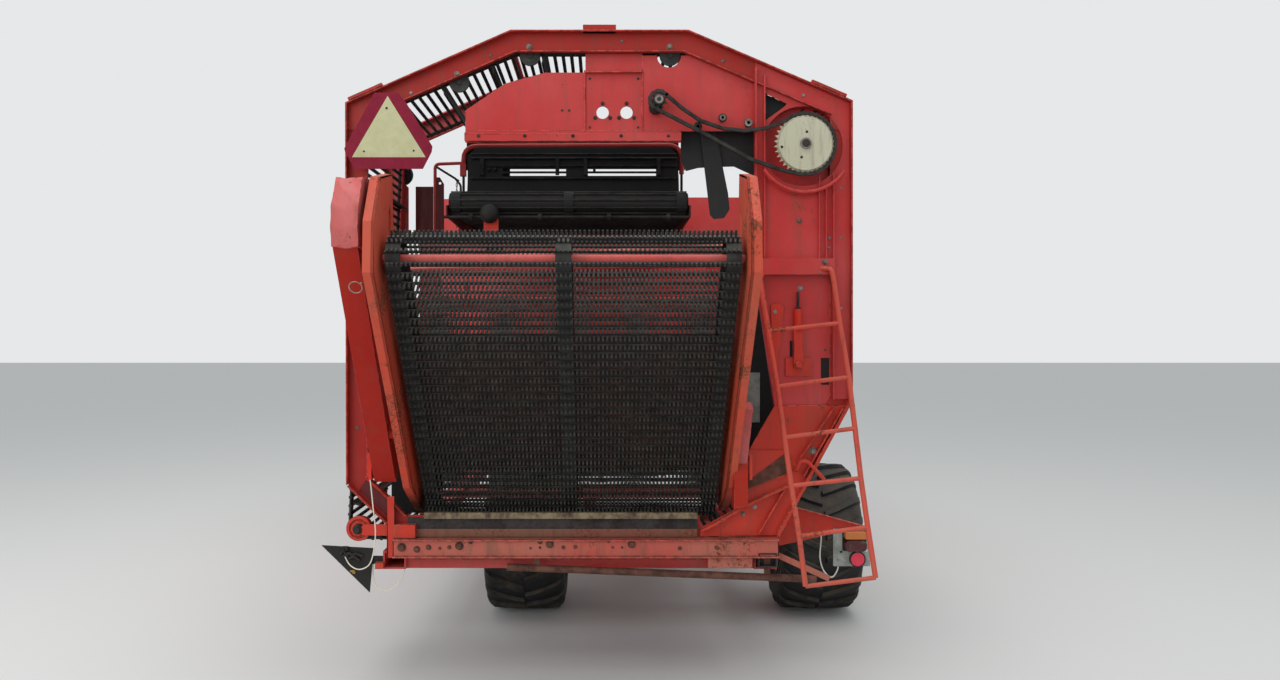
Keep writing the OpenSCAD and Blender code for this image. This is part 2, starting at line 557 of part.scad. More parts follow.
// rubber curtain behind the hoop, with its four slots
module table_curtain() color(black) difference() {
  plate_xz([[-833, 2765], [-804, 2765], [-804, 2700], [444, 2700], [444, 2765], [495, 2765], [495, 2885],
    [440, 2885], [440, 2946], [400, 2946], [400, 2885], [-140, 2885], [-140, 2940], [-180, 2940], [-180, 2885], [-740, 2885], [-740, 2934], [-780, 2934], [-780, 2885],
    [-833, 2885]], 1014, 1020);
  for (x = [[-563, -224], [-91, 321]]) for (z = [2732, 2757]) block([x[0], 1013, z], [x[1], 1021, z + 16]);
}
module platform() color(steel) {
  block([870, 960, platform_z - 20], [1450, 3040, platform_z]);
  for (y = [960, 2130, 2960]) block([870, y, platform_z - 80], [1440, y + 60, platform_z - 20]);
}
module railing() color(red) {
  for (y = [990, 2000, 3010]) pin_z(1420, y, 16, platform_z, 2500);
  for (z = [2000, 2500]) tube([1420, 990, z], [1420, 3010, z], 16);
  for (y = [990, 3010]) translate([1420, y, 2500]) sphere(r = 17, $fn = 32);
}

// bunker with its unloading boom
module bunker() color(red) {
  back = [[-1160, 1650], [1000, 1650], [1240, 2100], [1240, bunker_top], [500, bunker_top], [500, 2365], [-860, 2365],
    [-860, bunker_top], [-1160, bunker_top]];
  front = [[-1160, 1650], [1000, 1650], [1240, 2100], [1240, bunker_top], [-1160, bunker_top]];
  plate_xz(back, bunker_rear, bunker_rear + sheet);
  plate_xz(front, bunker_front - sheet, bunker_front);
  plate_xz([[1000, 1640], [1240, 2096], [1240, bunker_top], [1232, bunker_top], [1232, 2100], [992, 1650], [-1160, 1650],
    [-1160, 1640]], bunker_rear, bunker_front);
  block([-1160, bunker_rear, 1850], [-1152, bunker_front, bunker_top]);
  // pressed ribs on the sides and the front
  step = (bunker_front - bunker_rear - 160) / 5;
  for (k = [0:5]) let (y = bunker_rear + 50 + step * k) {
    block([1240, y, 2110], [1262, y + 60, bunker_top - 20]);
    block([-1174, y, 1870], [-1160, y + 60, bunker_top - 20]);
  }
  for (x = [-950, -400, 150, 700, 1100]) block([x, bunker_front, x > 1000 ? 2250 : 1720], [x + 60, bunker_front + 22,
    bunker_top - 20]);
  for (y = [[bunker_rear, bunker_rear + 40], [bunker_front - 40, bunker_front]])
    pin_y(boom_x, boom_z, 15, y[0], y[1]);
  for (y = [bunker_rear, bunker_front - sheet]) block([-1215, y, 1660], [-1160, y + sheet, 1720]);
}
module bunker_web() color(black) {
  p = [-1085, 1725];
  q = [900, 1725];
  band_xz(ribbed(loop(p, q, 62), 8, 14, bar_pitch), loop(p, q, 52), bunker_rear + 50, bunker_front - 50);
  for (c = [p, q]) pin_y(c[0], c[1], 51, bunker_rear + sheet, bunker_front - sheet);
}
module boom_frame() color(red) {
  side_plate = [[-1240, 1660], [-1185, 1660], [-1185, bunker_top - 70], [-1250, bunker_top - 10],
    [-1390, bunker_top - 10], [-1390, 1740]];
  for (y = [bunker_rear + 20, bunker_front - 32]) difference() {
    union() {
      plate_xz(side_plate, y, y + 12);
      pin_y(boom_x, boom_z, 28, y, y + 12);
    }
    pin_y(boom_x, boom_z, 15.05, y - 1, y + 13);
  }
  block([-1390, bunker_rear + 32, 1760], [-1382, bunker_front - 32, bunker_top - 20]);
}
module boom_web() color(black) {
  p = [-1282, 1790];
  q = [-1282, bunker_top - 110];
  band_xz(ribbed(loop(p, q, 62), 8, 14, bar_pitch), loop(p, q, 52), bunker_rear + 50, bunker_front - 50);
  for (c = [p, q]) pin_y(c[0], c[1], 51, bunker_rear + 32, bunker_front - 32);
}

// drawbar
module drawbar() color(red) {
  x0 = drawbar_x - drawbar_w / 2;
  beam = [[swing_y, 1428], [swing_y, 1592], [6350, 1560], [6560, 1470], [6990, 640], [7120, 630], [7120, 490],
    [6900, 490], [6440, 1400], [6300, 1428]];
  difference() {
    union() {
      plate_yz(beam, x0, x0 + drawbar_w);
      pin_z(drawbar_x, swing_y, 75, 1428, 1592);
    }
    pin_z(drawbar_x, swing_y, 30.05, 1400, 1600);
  }
  difference() {
    union() {
      pin_z(jack_x, jack_y, 48, 380, 1000);
      block([jack_x, jack_y - 30, 540], [x0, jack_y + 30, 640]);
    }
    pin_z(jack_x, jack_y, 38.05, 370, 990);
  }
}
module towing_eye() color(steel) difference() {
  union() {
    pin_z(drawbar_x, eye_y, 55, eye_z - 20, eye_z + 20);
    block([drawbar_x - 35, 7120, eye_z - 20], [drawbar_x + 35, eye_y, eye_z + 20]);
  }
  pin_z(drawbar_x, eye_y, eye_d / 2, eye_z - 30, eye_z + 30);
}
module jack_leg() color(steel) {
  pin_z(jack_x, jack_y, 38, 12, 640);
  pin_z(jack_x, jack_y, 110, 0, 12);
}
module drive_shaft() color(black) {
  x = drawbar_x + drawbar_w / 2 + 70;
  tube([x, 7130, 680], [x, 6560, 1510], 42);
  translate([x, 6560, 1510]) sphere(r = 60, $fn = 48);
  tube([x, 6560, 1510], [x, 4600, 1510], 42);
  for (y = [6300, 4650]) block([x - 70, y, 1480], [x, y + 40, 1540]);
}
module oil_tank() color(red) block([870, 3220, 570], [1190, 3820, 1100]);

// outside fittings
module ladder() color(red) {
  left = [[790, -60, 2061], [975, -210, 545]];
  right = [[1111, -60, 2096], [1305, -210, 598]];
  tube(left[0], left[1], 14);
  tube(right[0], right[1], 14);
  for (k = [0:5]) {
    t = (k + 1.13) / 6.2;
    tube(left[0] + (left[1] - left[0]) * t, right[0] + (right[1] - right[0]) * (t - 0.02), 12);
  }
  for (p = [left[0], right[0]]) {
    pin_y(p[0], p[2], 14, -60, -30);
    translate(p) sphere(r = 15, $fn = 32);
  }
}
module lamp_bracket() color(red) {
  plate_xz([[870, 640], [1383, 752], [1019, 852], [870, 684]], 270, 278);
  plate_xz([[1214, 546], [1409, 546], [1409, 745], [1214, 745]], 264, 270);
  // the cable's clip and its joint box behind the plate
  block([1143, 258, 712], [1157, 270, 726]);
  block([1228, 270, 640], [1262, 296, 670]);
}
module lamps() color([0.8, 0.2, 0.1]) {
  block([1267, 224, 631], [1383, 264, 731]);
  pin_y(1340, 585, 41, 256, 264);
}
module triangle_sign() color(faded) {
  foot = ring_top - 700;
  plate_xz([[-1240, foot], [-862, foot], [-835, foot + 38], [-1040, foot + 375], [-1080, foot + 375],
    [-1267, foot + 38]], -89, -85);
  block([-1240, -85, foot + 120], [-1200, 0, foot + 180]);
}
module deflector() color(black) {
  plate_xz([[-1405, 715], [-1165, 480], [-1145, 700]], -sheet, 0);
  block([-1165, 0, 620], [beam_left - beam_w, 8, 660]);
  block([-1300, -22, 690], [-1270, -sheet, 712]);
}
module hung_pipe() color(red) {
  tube([-477, -30, 612], [1058, -30, 552], 18);
  for (x = [-345, 800]) block([x, -34, 590 - (x + 345) * 0.03], [x + 30, -26, 665]);
}
module lamp_cable() color([0.9, 0.9, 0.88]) cord(cable_way, cable_r);
module twine() color([0.9, 0.88, 0.8]) cord(twine_way, twine_r);
module twine_end() color([0.9, 0.88, 0.8]) cord(twine_end_way, twine_r);

module place() translate([-centre_x, -centre_y, 0]) children();
place() main_frame();
place() axle_beam();
place() knuckle_left();
place() knuckle_right();
place() tie_rod();
place() rim_left();
place() tyre_left();
place() rim_right();
place() tyre_right();
place() ring_frame_rear();
place() ring_frame_front();
place() ring_ties();
place() ring_web();
place() rear_beam();
place() hood_plates();
place() side_panel();
place() lower_plate();
place() drive_sprockets();
place() drive_chain();
place() tension_pulley();
place() finger_web();
place() finger_plates();
place() finger_arms();
place() pivot_brackets();
place() feed_web();
place() feed_walls();
place() digging_web();
place() intake_frame();
place() share_blades();
place() ridge_roller_left();
place() ridge_roller_right();
place() disc_left();
place() disc_middle();
place() disc_right();
place() upper_frame();
place() picking_web();
place() picking_frame();
place() hoop();
place() platform();
place() railing();
place() bunker();
place() bunker_web();
place() boom_frame();
place() boom_web();
place() drawbar();
place() towing_eye();
place() jack_leg();
place() drive_shaft();
place() oil_tank();
place() ladder();
place() lamp_bracket();
place() lamps();
place() triangle_sign();
place() deflector();
place() hung_pipe();
place() table_curtain();
place() lamp_cable();
place() twine();
place() twine_end();
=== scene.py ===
import math

import bmesh
import bpy
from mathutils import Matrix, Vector
from mathutils.geometry import tessellate_polygon


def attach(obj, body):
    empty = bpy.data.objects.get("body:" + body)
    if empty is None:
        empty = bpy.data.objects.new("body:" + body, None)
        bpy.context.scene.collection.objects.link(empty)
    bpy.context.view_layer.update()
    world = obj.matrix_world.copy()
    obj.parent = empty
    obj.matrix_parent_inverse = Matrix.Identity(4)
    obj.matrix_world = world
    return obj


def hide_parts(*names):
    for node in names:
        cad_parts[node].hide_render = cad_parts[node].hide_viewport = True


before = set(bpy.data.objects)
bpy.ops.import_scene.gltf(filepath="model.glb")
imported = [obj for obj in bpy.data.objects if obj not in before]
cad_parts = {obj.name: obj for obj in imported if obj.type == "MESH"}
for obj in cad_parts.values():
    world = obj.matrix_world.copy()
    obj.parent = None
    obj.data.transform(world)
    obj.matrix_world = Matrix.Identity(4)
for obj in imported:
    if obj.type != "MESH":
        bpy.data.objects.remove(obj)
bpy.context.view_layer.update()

# The drawing is in millimetres: x to the machine's right, y forward from the ring's rear face, z up.
ORIGIN = Vector((101, 3205, 0))

# Size of the photograph and its camera, worked out from the finger web's width and the tyres
PHOTO_W = 1280
PHOTO_H = 680
FOCAL_PX = 962
EYE = (0, -4810, 1750)
VANISH_X = 603
VANISH_Y = 338


def at(point):
    """The row frame's metres for a point of the drawing."""
    return (Vector(point) - ORIGIN) / 1000


def show(name, data):
    """Puts an object of its own in the scene."""
    thing = bpy.data.objects.new(name, data)
    bpy.context.scene.collection.objects.link(thing)
    return thing


def camera():
    data = bpy.data.cameras.new("eye")
    data.sensor_width = 36
    data.lens = FOCAL_PX / PHOTO_W * data.sensor_width
    data.shift_x = (PHOTO_W / 2 - VANISH_X) / PHOTO_W
    data.shift_y = (VANISH_Y - PHOTO_H / 2) / PHOTO_W
    eye = show("eye", data)
    eye.location = at(EYE)
    eye.rotation_euler = (math.radians(90), 0, 0)
    bpy.context.scene.camera = eye


camera()


# Materials

def colour(code):
    """sRGB hex to the linear colour that the shader takes."""
    parts = [int(code[i:i + 2], 16) / 255 for i in (1, 3, 5)]
    return [c / 12.92 if c <= 0.04045 else ((c + 0.055) / 1.055) ** 2.4 for c in parts] + [1]


def add(tree, kind, settings=(), out=0, stops=(), **links):
    """Adds a node and gives back one of its outputs. settings are its properties, stops a colour ramp's places and
    greys, and links its inputs, by name or by i and number: a value, an output or several outputs."""
    node = tree.nodes.new(kind)
    for key, value in dict(settings).items():
        setattr(node, key, value)
    for k, (spot, grey) in enumerate(stops):
        mark = node.color_ramp.elements[k]
        mark.position = spot
        mark.color = (grey, grey, grey, 1)
    for key, value in links.items():
        slot = node.inputs[int(key[1:]) if key[1:].isdigit() else key.replace("_", " ")]
        parts = value if isinstance(value, (list, tuple)) else [value]
        if isinstance(parts[0], bpy.types.NodeSocket):
            for part in parts:
                tree.links.new(part, slot)
        else:
            slot.default_value = value
    return node.outputs[out] if node.outputs else None


# Kinds of node, some with their settings and the output that is read
NOISE = "ShaderNodeTexNoise"
RAMP = "ShaderNodeValToRGB"
MIX = ("ShaderNodeMix", {"data_type": "RGBA"}, 2)
TIMES = ("ShaderNodeMath", {"operation": "MULTIPLY"})
LARGER = ("ShaderNodeMath", {"operation": "MAXIMUM"})
TIMES_PLUS = ("ShaderNodeMath", {"operation": "MULTIPLY_ADD"})
LESS = ("ShaderNodeMath", {"operation": "SUBTRACT"})


def new_material(name):
    """A material with an empty tree, and the place in metres that its patterns lie at."""
    made = bpy.data.materials.new(name)
    made.use_nodes = True
    made.node_tree.nodes.clear()
    return made, made.node_tree, add(made.node_tree, "ShaderNodeTexCoord", out="Object")


def close(made, relief=None, strength=0, depth_mm=0, **inputs):
    """Ends a material's tree with a shader that takes these inputs, its surface in relief."""
    tree = made.node_tree
    if relief:
        inputs["Normal"] = add(tree, "ShaderNodeBump", Height=relief, Strength=strength, Distance=depth_mm / 1000)
    add(tree, "ShaderNodeOutputMaterial", i0=add(tree, "ShaderNodeBsdfPrincipled", **inputs))
    return made


def sprayed_enamel(name, fresh, faded, rust_amount, dirt_amount, fade_amount=0.35, index=1.4):
    """Synthetic enamel sprayed on hot-rolled sheet: satin, bleached by the sun in patches, with rust that
    breaks through in spots, brown water runs and dry soil low down and on ledges."""
    made, tree, place = new_material(name)
    up = add(tree, "ShaderNodeSeparateXYZ", out="Z", i0=add(tree, "ShaderNodeNewGeometry", out="Normal"))
    height = add(tree, "ShaderNodeSeparateXYZ", out="Z", i0=place)
    cloud = add(tree, NOISE, Vector=place, Scale=1000 / 600, Detail=6, Roughness=0.6)
    fine = add(tree, NOISE, Vector=place, Scale=1000 / 35, Detail=8, Roughness=0.7)
    patches = add(tree, RAMP, i0=cloud, stops=[(0.5 - fade_amount * 0.4, 0), (0.75, 1)])
    base = add(tree, *MIX, i0=patches, i6=colour(fresh), i7=colour(faded))
    # water runs: noise drawn out down the sheet
    drawn = add(tree, "ShaderNodeMapping", Vector=place, Scale=(1, 1, 0.12))
    runs = add(tree, NOISE, Vector=drawn, Scale=1000 / 45, Detail=5, Roughness=0.75)
    runs = add(tree, RAMP, i0=runs, stops=[(0.5, 0), (0.78, dirt_amount)])
    base = add(tree, *MIX, i0=runs, i6=base, i7=colour("#6E4A3A"))
    # dry soil where the face looks up, and low on the machine
    ledge = add(tree, *TIMES_PLUS, i0=up, i1=0.75, i2=-0.25)
    low = add(tree, "ShaderNodeMapRange", i0=height, i1=1.3, i2=0.4, i3=0.0, i4=0.45)
    soil = add(tree, *LARGER, i0=ledge, i1=low)
    soil = add(tree, "ShaderNodeMath", {"operation": "MULTIPLY", "use_clamp": True}, i0=soil, i1=fine)
    soil = add(tree, RAMP, i0=soil, stops=[(0.12, 0), (0.5, min(1, dirt_amount * 1.6))])
    base = add(tree, *MIX, i0=soil, i6=base, i7=colour("#8A7763"))
    # rust that breaks through in spots
    spots = add(tree, NOISE, Vector=place, Scale=1000 / 14, Detail=9, Roughness=0.75)
    spread = add(tree, NOISE, Vector=place, Scale=1000 / 260, Detail=3, Roughness=0.6)
    spots = add(tree, *TIMES, i0=spots, i1=spread)
    edge = 0.46 - rust_amount * 0.14
    rust = add(tree, RAMP, i0=spots, stops=[(edge - 0.02, 0), (edge + 0.02, 1)])
    rust_tint = add(tree, *MIX, i0=fine, i6=colour("#4A2A20"), i7=colour("#8E5236"))
    base = add(tree, *MIX, i0=rust, i6=base, i7=rust_tint)
    gloss = add(tree, RAMP, i0=fine, stops=[(0.2, 0.36), (0.9, 0.6)])
    for mask in (rust, soil):
        gloss = add(tree, *MIX, i0=mask, i6=gloss, i7=(0.9, 0.9, 0.9, 1))
    lumps = add(tree, *MIX, i0=rust, i6=fine, i7=spots)
    return close(made, lumps, 0.25, 1.2, Base_Color=base, Roughness=gloss, IOR=index)


def chipped_edge(name, paint, bare):
    """The same enamel at a sheet's edges, where handling has knocked it off down to brown steel."""
    made, tree, place = new_material(name)
    chips = add(tree, NOISE, Vector=place, Scale=1000 / 40, Detail=8, Roughness=0.75)
    chips = add(tree, RAMP, i0=chips, stops=[(0.47, 0), (0.53, 1)])
    base = add(tree, *MIX, i0=chips, i6=colour(paint), i7=colour(bare))
    gloss = add(tree, RAMP, i0=chips, stops=[(0, 0.42), (1, 0.8)])
    return close(made, chips, 0.2, 0.5, Base_Color=base, Roughness=gloss)


def dusty_rubber(name, dark, dust, amount, size_mm=60):
    """Black vulcanised rubber: matt, with pale soil dust rubbed into it and dry crumbs on upper faces."""
    made, tree, place = new_material(name)
    up = add(tree, "ShaderNodeSeparateXYZ", out="Z", i0=add(tree, "ShaderNodeNewGeometry", out="Normal"))
    lumps = add(tree, NOISE, Vector=place, Scale=1000 / size_mm, Detail=8, Roughness=0.7)
    fine = add(tree, NOISE, Vector=place, Scale=1000 / 6, Detail=6, Roughness=0.7)
    mask = add(tree, *TIMES_PLUS, i0=up, i1=0.22, i2=lumps)
    mask = add(tree, RAMP, i0=mask, stops=[(0.5 - amount * 0.2, 0), (0.9 - amount * 0.15, 0.75)])
    base = add(tree, *MIX, i0=mask, i6=colour(dark), i7=colour(dust))
    gloss = add(tree, RAMP, i0=lumps, stops=[(0.2, 0.55), (0.8, 0.9)])
    return close(made, fine, 0.3, 0.6, Base_Color=base, Roughness=gloss)


def worn_steel(name, bright, dull, rough=0.45, metal=0.75):
    """Bare spring or mild steel, rubbed grey by soil and potatoes, with brown film rust in patches."""
    made, tree, place = new_material(name)
    cloud = add(tree, NOISE, Vector=place, Scale=1000 / 90, Detail=8, Roughness=0.75)
    mask = add(tree, RAMP, i0=cloud, stops=[(0.42, 0), (0.6, 1)])
    base = add(tree, *MIX, i0=mask, i6=colour(bright), i7=colour(dull))
    gloss = add(tree, RAMP, i0=mask, stops=[(0, rough), (1, 0.85)])
    metallic = add(tree, RAMP, i0=mask, stops=[(0, metal), (1, 0.1)])
    return close(made, cloud, 0.2, 0.6, Base_Color=base, Roughness=gloss, Metallic=metallic)


def plain_sheet(name, base_hex, other_hex, rough):
    """A smooth sheet or moulding with faint weathering and dust at its own scale."""
    made, tree, place = new_material(name)
    cloud = add(tree, NOISE, Vector=place, Scale=1000 / 70, Detail=6, Roughness=0.7)
    mask = add(tree, RAMP, i0=cloud, stops=[(0.4, 0), (0.7, 1)])
    base = add(tree, *MIX, i0=mask, i6=colour(base_hex), i7=colour(other_hex))
    gloss = add(tree, RAMP, i0=cloud, stops=[(0.3, rough), (0.8, min(1, rough + 0.25))])
    return close(made, cloud, 0.08, 0.3, Base_Color=base, Roughness=gloss, IOR=1.3)


def spun_fibre(name, pale, soiled):
    """Twisted split-film polypropylene: pale strands that wind round the twine, with soil in the grooves."""
    made, tree, place = new_material(name)
    strands = add(tree, "ShaderNodeTexWave", {"bands_direction": "DIAGONAL"}, "Fac", Vector=place, Scale=120.0,
                  Distortion=2.0)
    grime = add(tree, NOISE, Vector=place, Scale=1000 / 25, Detail=6, Roughness=0.7)
    groove = add(tree, RAMP, i0=strands, stops=[(0.0, 0.7), (0.35, 0.0)])
    dirt = add(tree, *TIMES, i0=groove, i1=grime)
    base = add(tree, *MIX, i0=dirt, i6=colour(pale), i7=colour(soiled))
    return close(made, strands, 0.5, 0.8, Base_Color=base, Roughness=0.6)


def lens(name, tint):
    """Moulded acrylic over prisms: glossy, deep in colour, with a fine grid of prisms under the face."""
    made, tree, place = new_material(name)
    # prisms of 4 mm
    cells = add(tree, "ShaderNodeTexVoronoi", {"distance": "CHEBYCHEV"}, Vector=place, Scale=1000 / 4)
    dust = add(tree, NOISE, Vector=place, Scale=1000 / 30, Detail=6, Roughness=0.7)
    mask = add(tree, RAMP, i0=dust, stops=[(0.5, 0), (0.85, 0.5)])
    base = add(tree, *MIX, i0=mask, i6=colour(tint), i7=colour("#8A7A68"))
    return close(made, cells, 0.25, 0.8, Base_Color=base, Roughness=0.18, IOR=1.49)


RED = sprayed_enamel("enamel_on_sheet_steel", "#BE2E2C", "#C84E4D", 0.35, 0.5)
# painted shade: a darker red than RED for the ring frame's sheets, which lie in shade; its rust and soil are real
# weathering
RED_RING = sprayed_enamel("enamel_on_folded_channel_in_painted_shade", "#A3241E", "#AE3A33", 0.5, 0.7, 0.3, 1.3)
# painted shade: a deeper red for the finger web's box arms, which lie in shade; its rust and soil are real weathering
RED_ARM = sprayed_enamel("enamel_on_box_section_in_painted_shade", "#A81E14", "#B2301F", 0.45, 0.5, 0.25, 1.25)
RED_LOW = sprayed_enamel("enamel_low_and_dirty", "#CE3322", "#C04434", 0.6, 0.6, 0.2, 1.35)
RED_FADED = sprayed_enamel("enamel_bleached_by_sun", "#B83E3C", "#C96A67", 1.15, 0.5, 0.6)
# painted shade: a near-black red for sheets and gaps that lie in shade; its soil runs and rust are real weathering
RED_SHADE = sprayed_enamel("enamel_painted_dark_as_shade", "#3A1614", "#241714", 0.6, 0.9, 0.6)
RED_RUSTY = sprayed_enamel("enamel_rusting_through", "#CC4630", "#BE5A42", 1.0, 0.7, 0.4, 1.35)
RED_BRIGHT = sprayed_enamel("enamel_kept_from_the_sun", "#D65650", "#DE6E66", 0.3, 0.4)
RED_EDGE = chipped_edge("enamel_chipped_at_edges", "#D4554A", "#5B3327")
RUSTY_EDGE = chipped_edge("rusty_cut_edge", "#7A5A44", "#3C2A20")
WORN_SILL = worn_steel("sheet_scoured_by_soil", "#8B7B5E", "#4A382C", 0.6, 0.2)
DARK_SILL = worn_steel("sheet_black_with_soil", "#3B3534", "#241D1B", 0.7, 0.15)
BROWN_SILL = sprayed_enamel("enamel_worn_through_by_soil", "#8A4A3C", "#7C5C48", 1.2, 1.3, 0.6)
RED_SCUFFED = sprayed_enamel("enamel_scuffed_by_stems", "#C2483E", "#B4705E", 1.0, 0.9, 0.45)
RED_RUBBED = sprayed_enamel("enamel_rubbed_by_boots", "#D64A3C", "#C95A48", 0.85, 0.8, 0.35, 1.35)
RED_DEEP = sprayed_enamel("enamel_deep_in_the_shade", "#5E1418", "#4A1214", 0.4, 0.6, 0.3)
CLOTH_BLACK = dusty_rubber("black_rubber_cloth", "#0E0E10", "#34332F", 0.2)
RUSTED = worn_steel("enamel_gone_to_rust", "#6E4636", "#44281F", 0.75, 0.1)
BLACK_ROD = worn_steel("painted_rod_black_with_soil", "#2B2A28", "#181615", 0.6, 0.2)
GREY_PLATE = worn_steel("galvanised_sheet", "#A9ADA6", "#8B8F88", 0.55, 0.25)
CREAM = sprayed_enamel("cream_enamel_on_wheels", "#BFBDA2", "#CAC9B6", 0.5, 0.6)
# the pale dust on this rubber is real dust and also painted highlights on the finger web's tips
WEB_RUBBER = dusty_rubber("vulcanised_web_rubber", "#1C1D1C", "#6C6A62", 0.35)
BELT_RUBBER = dusty_rubber("ply_belt_rubber", "#222322", "#5E5C55", 0.5)
TYRE_RUBBER = dusty_rubber("tyre_tread_rubber", "#121416", "#6E6355", 0.3, 120)
ROD_STEEL = worn_steel("spring_steel_web_rod", "#6E6A64", "#3B2D26")
BARE_STEEL = worn_steel("mild_steel_rubbed_bright", "#8F8B85", "#5A4032")
OILY_STEEL = worn_steel("roller_chain_in_old_oil", "#3A3632", "#1D1815", 0.5, 0.5)
SIGN_BORDER = plain_sheet("retroreflective_red_sheet", "#86112F", "#740F2A", 0.5)
SIGN_MIDDLE = plain_sheet("fluorescent_sheet_bleached", "#C4C39A", "#B8B58A", 0.5)
BLACK_PLASTIC = plain_sheet("moulded_black_abs", "#232322", "#2E2D2B", 0.5)
LENS_RED = lens("moulded_acrylic_red", "#4A1012")
LENS_AMBER = lens("moulded_acrylic_amber", "#C87430")
REFLECTOR = lens("moulded_prism_reflector", "#E8304C")
CABLE_SHEATH = plain_sheet("extruded_pvc_sheath", "#E6E5DF", "#C9C4B5", 0.4)
TWINE = spun_fibre("twisted_polypropylene_twine", "#EDE8D6", "#9C8E74")
BRASS = worn_steel("stamped_brass", "#C79A4C", "#7A5A2C", 0.4, 0.8)
ZINC = worn_steel("zinc_plated_bolt", "#B5B1A8", "#7A6A58", 0.4, 0.7)

# The slot for each finish. The others belong to painted_red, unless a piece says otherwise.
SLOTS = {made: slot for slot, group in {
    "painted_red_faded": (RED_FADED, GREY_PLATE), "painted_cream": (CREAM,), "sign": (SIGN_BORDER, SIGN_MIDDLE),
    "lamp_red": (LENS_RED, LENS_AMBER, REFLECTOR), "bare_steel": (BARE_STEEL, BRASS, ZINC),
    "black_steel": (OILY_STEEL, BLACK_PLASTIC, BLACK_ROD),
    "black_rubber": (WEB_RUBBER, BELT_RUBBER, TYRE_RUBBER, CLOTH_BLACK)}.items() for made in group}


# Meshes in the drawing's millimetres.

bench = bmesh.new()


def rectangle(u0, v0, u1, v1):
    return [(u0, v0), (u1, v0), (u1, v1), (u0, v1)]


def arc(centre, radius, degrees):
    """Points at these angles on a circle."""
    return [(centre[0] + radius * math.cos(math.radians(a)), centre[1] + radius * math.sin(math.radians(a)))
            for a in degrees]


def on_xz(y):
    """A sheet across the machine: u is x, v is z, and w goes forward from y."""
    return lambda u, v, w: (u, y + w, v)


def on_yz(x):
    return lambda u, v, w: (x + w, u, v)


def sheet(outline, thick, place, holes=()):
    """A flat sheet cut to an outline, with holes, thick from its near face."""
    loops = [list(outline)] + [list(h) for h in holes]
    flat = [Vector((u, v, 0)) for loop in loops for u, v in loop]
    near = [bench.verts.new(place(p.x, p.y, 0)) for p in flat]
    far = [bench.verts.new(place(p.x, p.y, thick)) for p in flat]
    for a, b, c in tessellate_polygon([[Vector((u, v, 0)) for u, v in loop] for loop in loops]):
        bench.faces.new((near[a], near[b], near[c]))
        bench.faces.new((far[c], far[b], far[a]))
    first = 0
    for loop in loops:
        for i in range(len(loop)):
            a, b = first + i, first + (i + 1) % len(loop)
            bench.faces.new((near[a], near[b], far[b], far[a]))
        first += len(loop)


def box(low, high):
    corners = [bench.verts.new((x, y, z)) for x in (low[0], high[0]) for y in (low[1], high[1])
               for z in (low[2], high[2])]
    for face in ((0, 1, 3, 2), (4, 6, 7, 5), (0, 4, 5, 1), (2, 3, 7, 6), (0, 2, 6, 4), (1, 5, 7, 3)):
        bench.faces.new([corners[i] for i in face])


def tube(points, radius, sides, closed=False):
    """A round bar along points, with mitred corners and closed ends."""
    way = [Vector(p) for p in points]
    count = len(way)
    rings = []
    side = None
    for i, here in enumerate(way):
        before = way[i - 1] if i or closed else None
        after = way[(i + 1) % count] if i < count - 1 or closed else None
        into = (here - before).normalized() if before is not None else None
        out = (after - here).normalized() if after is not None else None
        along = ((into or out) + (out or into)).normalized()
        if side is None:
            side = along.cross(Vector((0, 0, 1)) if abs(along.z) < 0.9 else Vector((0, 1, 0))).normalized()
        side = (side - along * side.dot(along)).normalized()
        other = along.cross(side)
        stretch = 1 / max(0.5, along.dot(out or into))
        turn = (out - into) if into is not None and out is not None else Vector()
        turn = (turn - along * turn.dot(along))
        turn = turn.normalized() if turn.length > 1e-6 else None
        ring = []
        for k in range(sides):
            a = 2 * math.pi * k / sides
            offset = side * math.cos(a) * radius + other * math.sin(a) * radius
            if turn is not None:
                offset += turn * offset.dot(turn) * (stretch - 1)
            ring.append(bench.verts.new(here + offset))
        rings.append(ring)
    last = count if closed else count - 1
    for i in range(last):
        a, b = rings[i], rings[(i + 1) % count]
        for k in range(sides):
            m = (k + 1) % sides
            bench.faces.new((a[k], a[m], b[m], b[k]))
    if not closed:
        bench.faces.new(rings[0][::-1])
        bench.faces.new(rings[-1])


def bent(points, radius):
    """Rounds the corners of a run of points, in five steps each."""
    steps = 5
    way = [Vector(p) for p in points]
    out = [way[0]]
    for before, here, after in zip(way, way[1:], way[2:]):
        a, b = (before - here).normalized(), (after - here).normalized()
        half = a.angle(b) / 2
        reach = min(radius / math.tan(half), (before - here).length * 0.49, (after - here).length * 0.49)
        start, end = here + a * reach, here + b * reach
        for k in range(steps + 1):
            t = k / steps
            out.append(start * (1 - t) ** 2 + here * 2 * t * (1 - t) + end * t * t)
    out.append(way[-1])
    return out


def turned(profile, centre, axis, steps, closed=True):
    """Turns a profile of (radius, along) about the axis 'x', 'y' or 'z' through centre."""
    spin = {"x": lambda r, h, a: (h, r * math.cos(a), r * math.sin(a)),
            "y": lambda r, h, a: (r * math.sin(a), h, r * math.cos(a)),
            "z": lambda r, h, a: (r * math.cos(a), r * math.sin(a), h)}[axis]
    rings = []
    for k in range(steps):
        a = 2 * math.pi * k / steps
        rings.append([bench.verts.new(Vector(centre) + Vector(spin(r, h, a))) for r, h in profile])
    for k in range(steps):
        a, b = rings[k], rings[(k + 1) % steps]
        for i in range(len(profile) if closed else len(profile) - 1):
            m = (i + 1) % len(profile)
            bench.faces.new((a[i], a[m], b[m], b[i]))


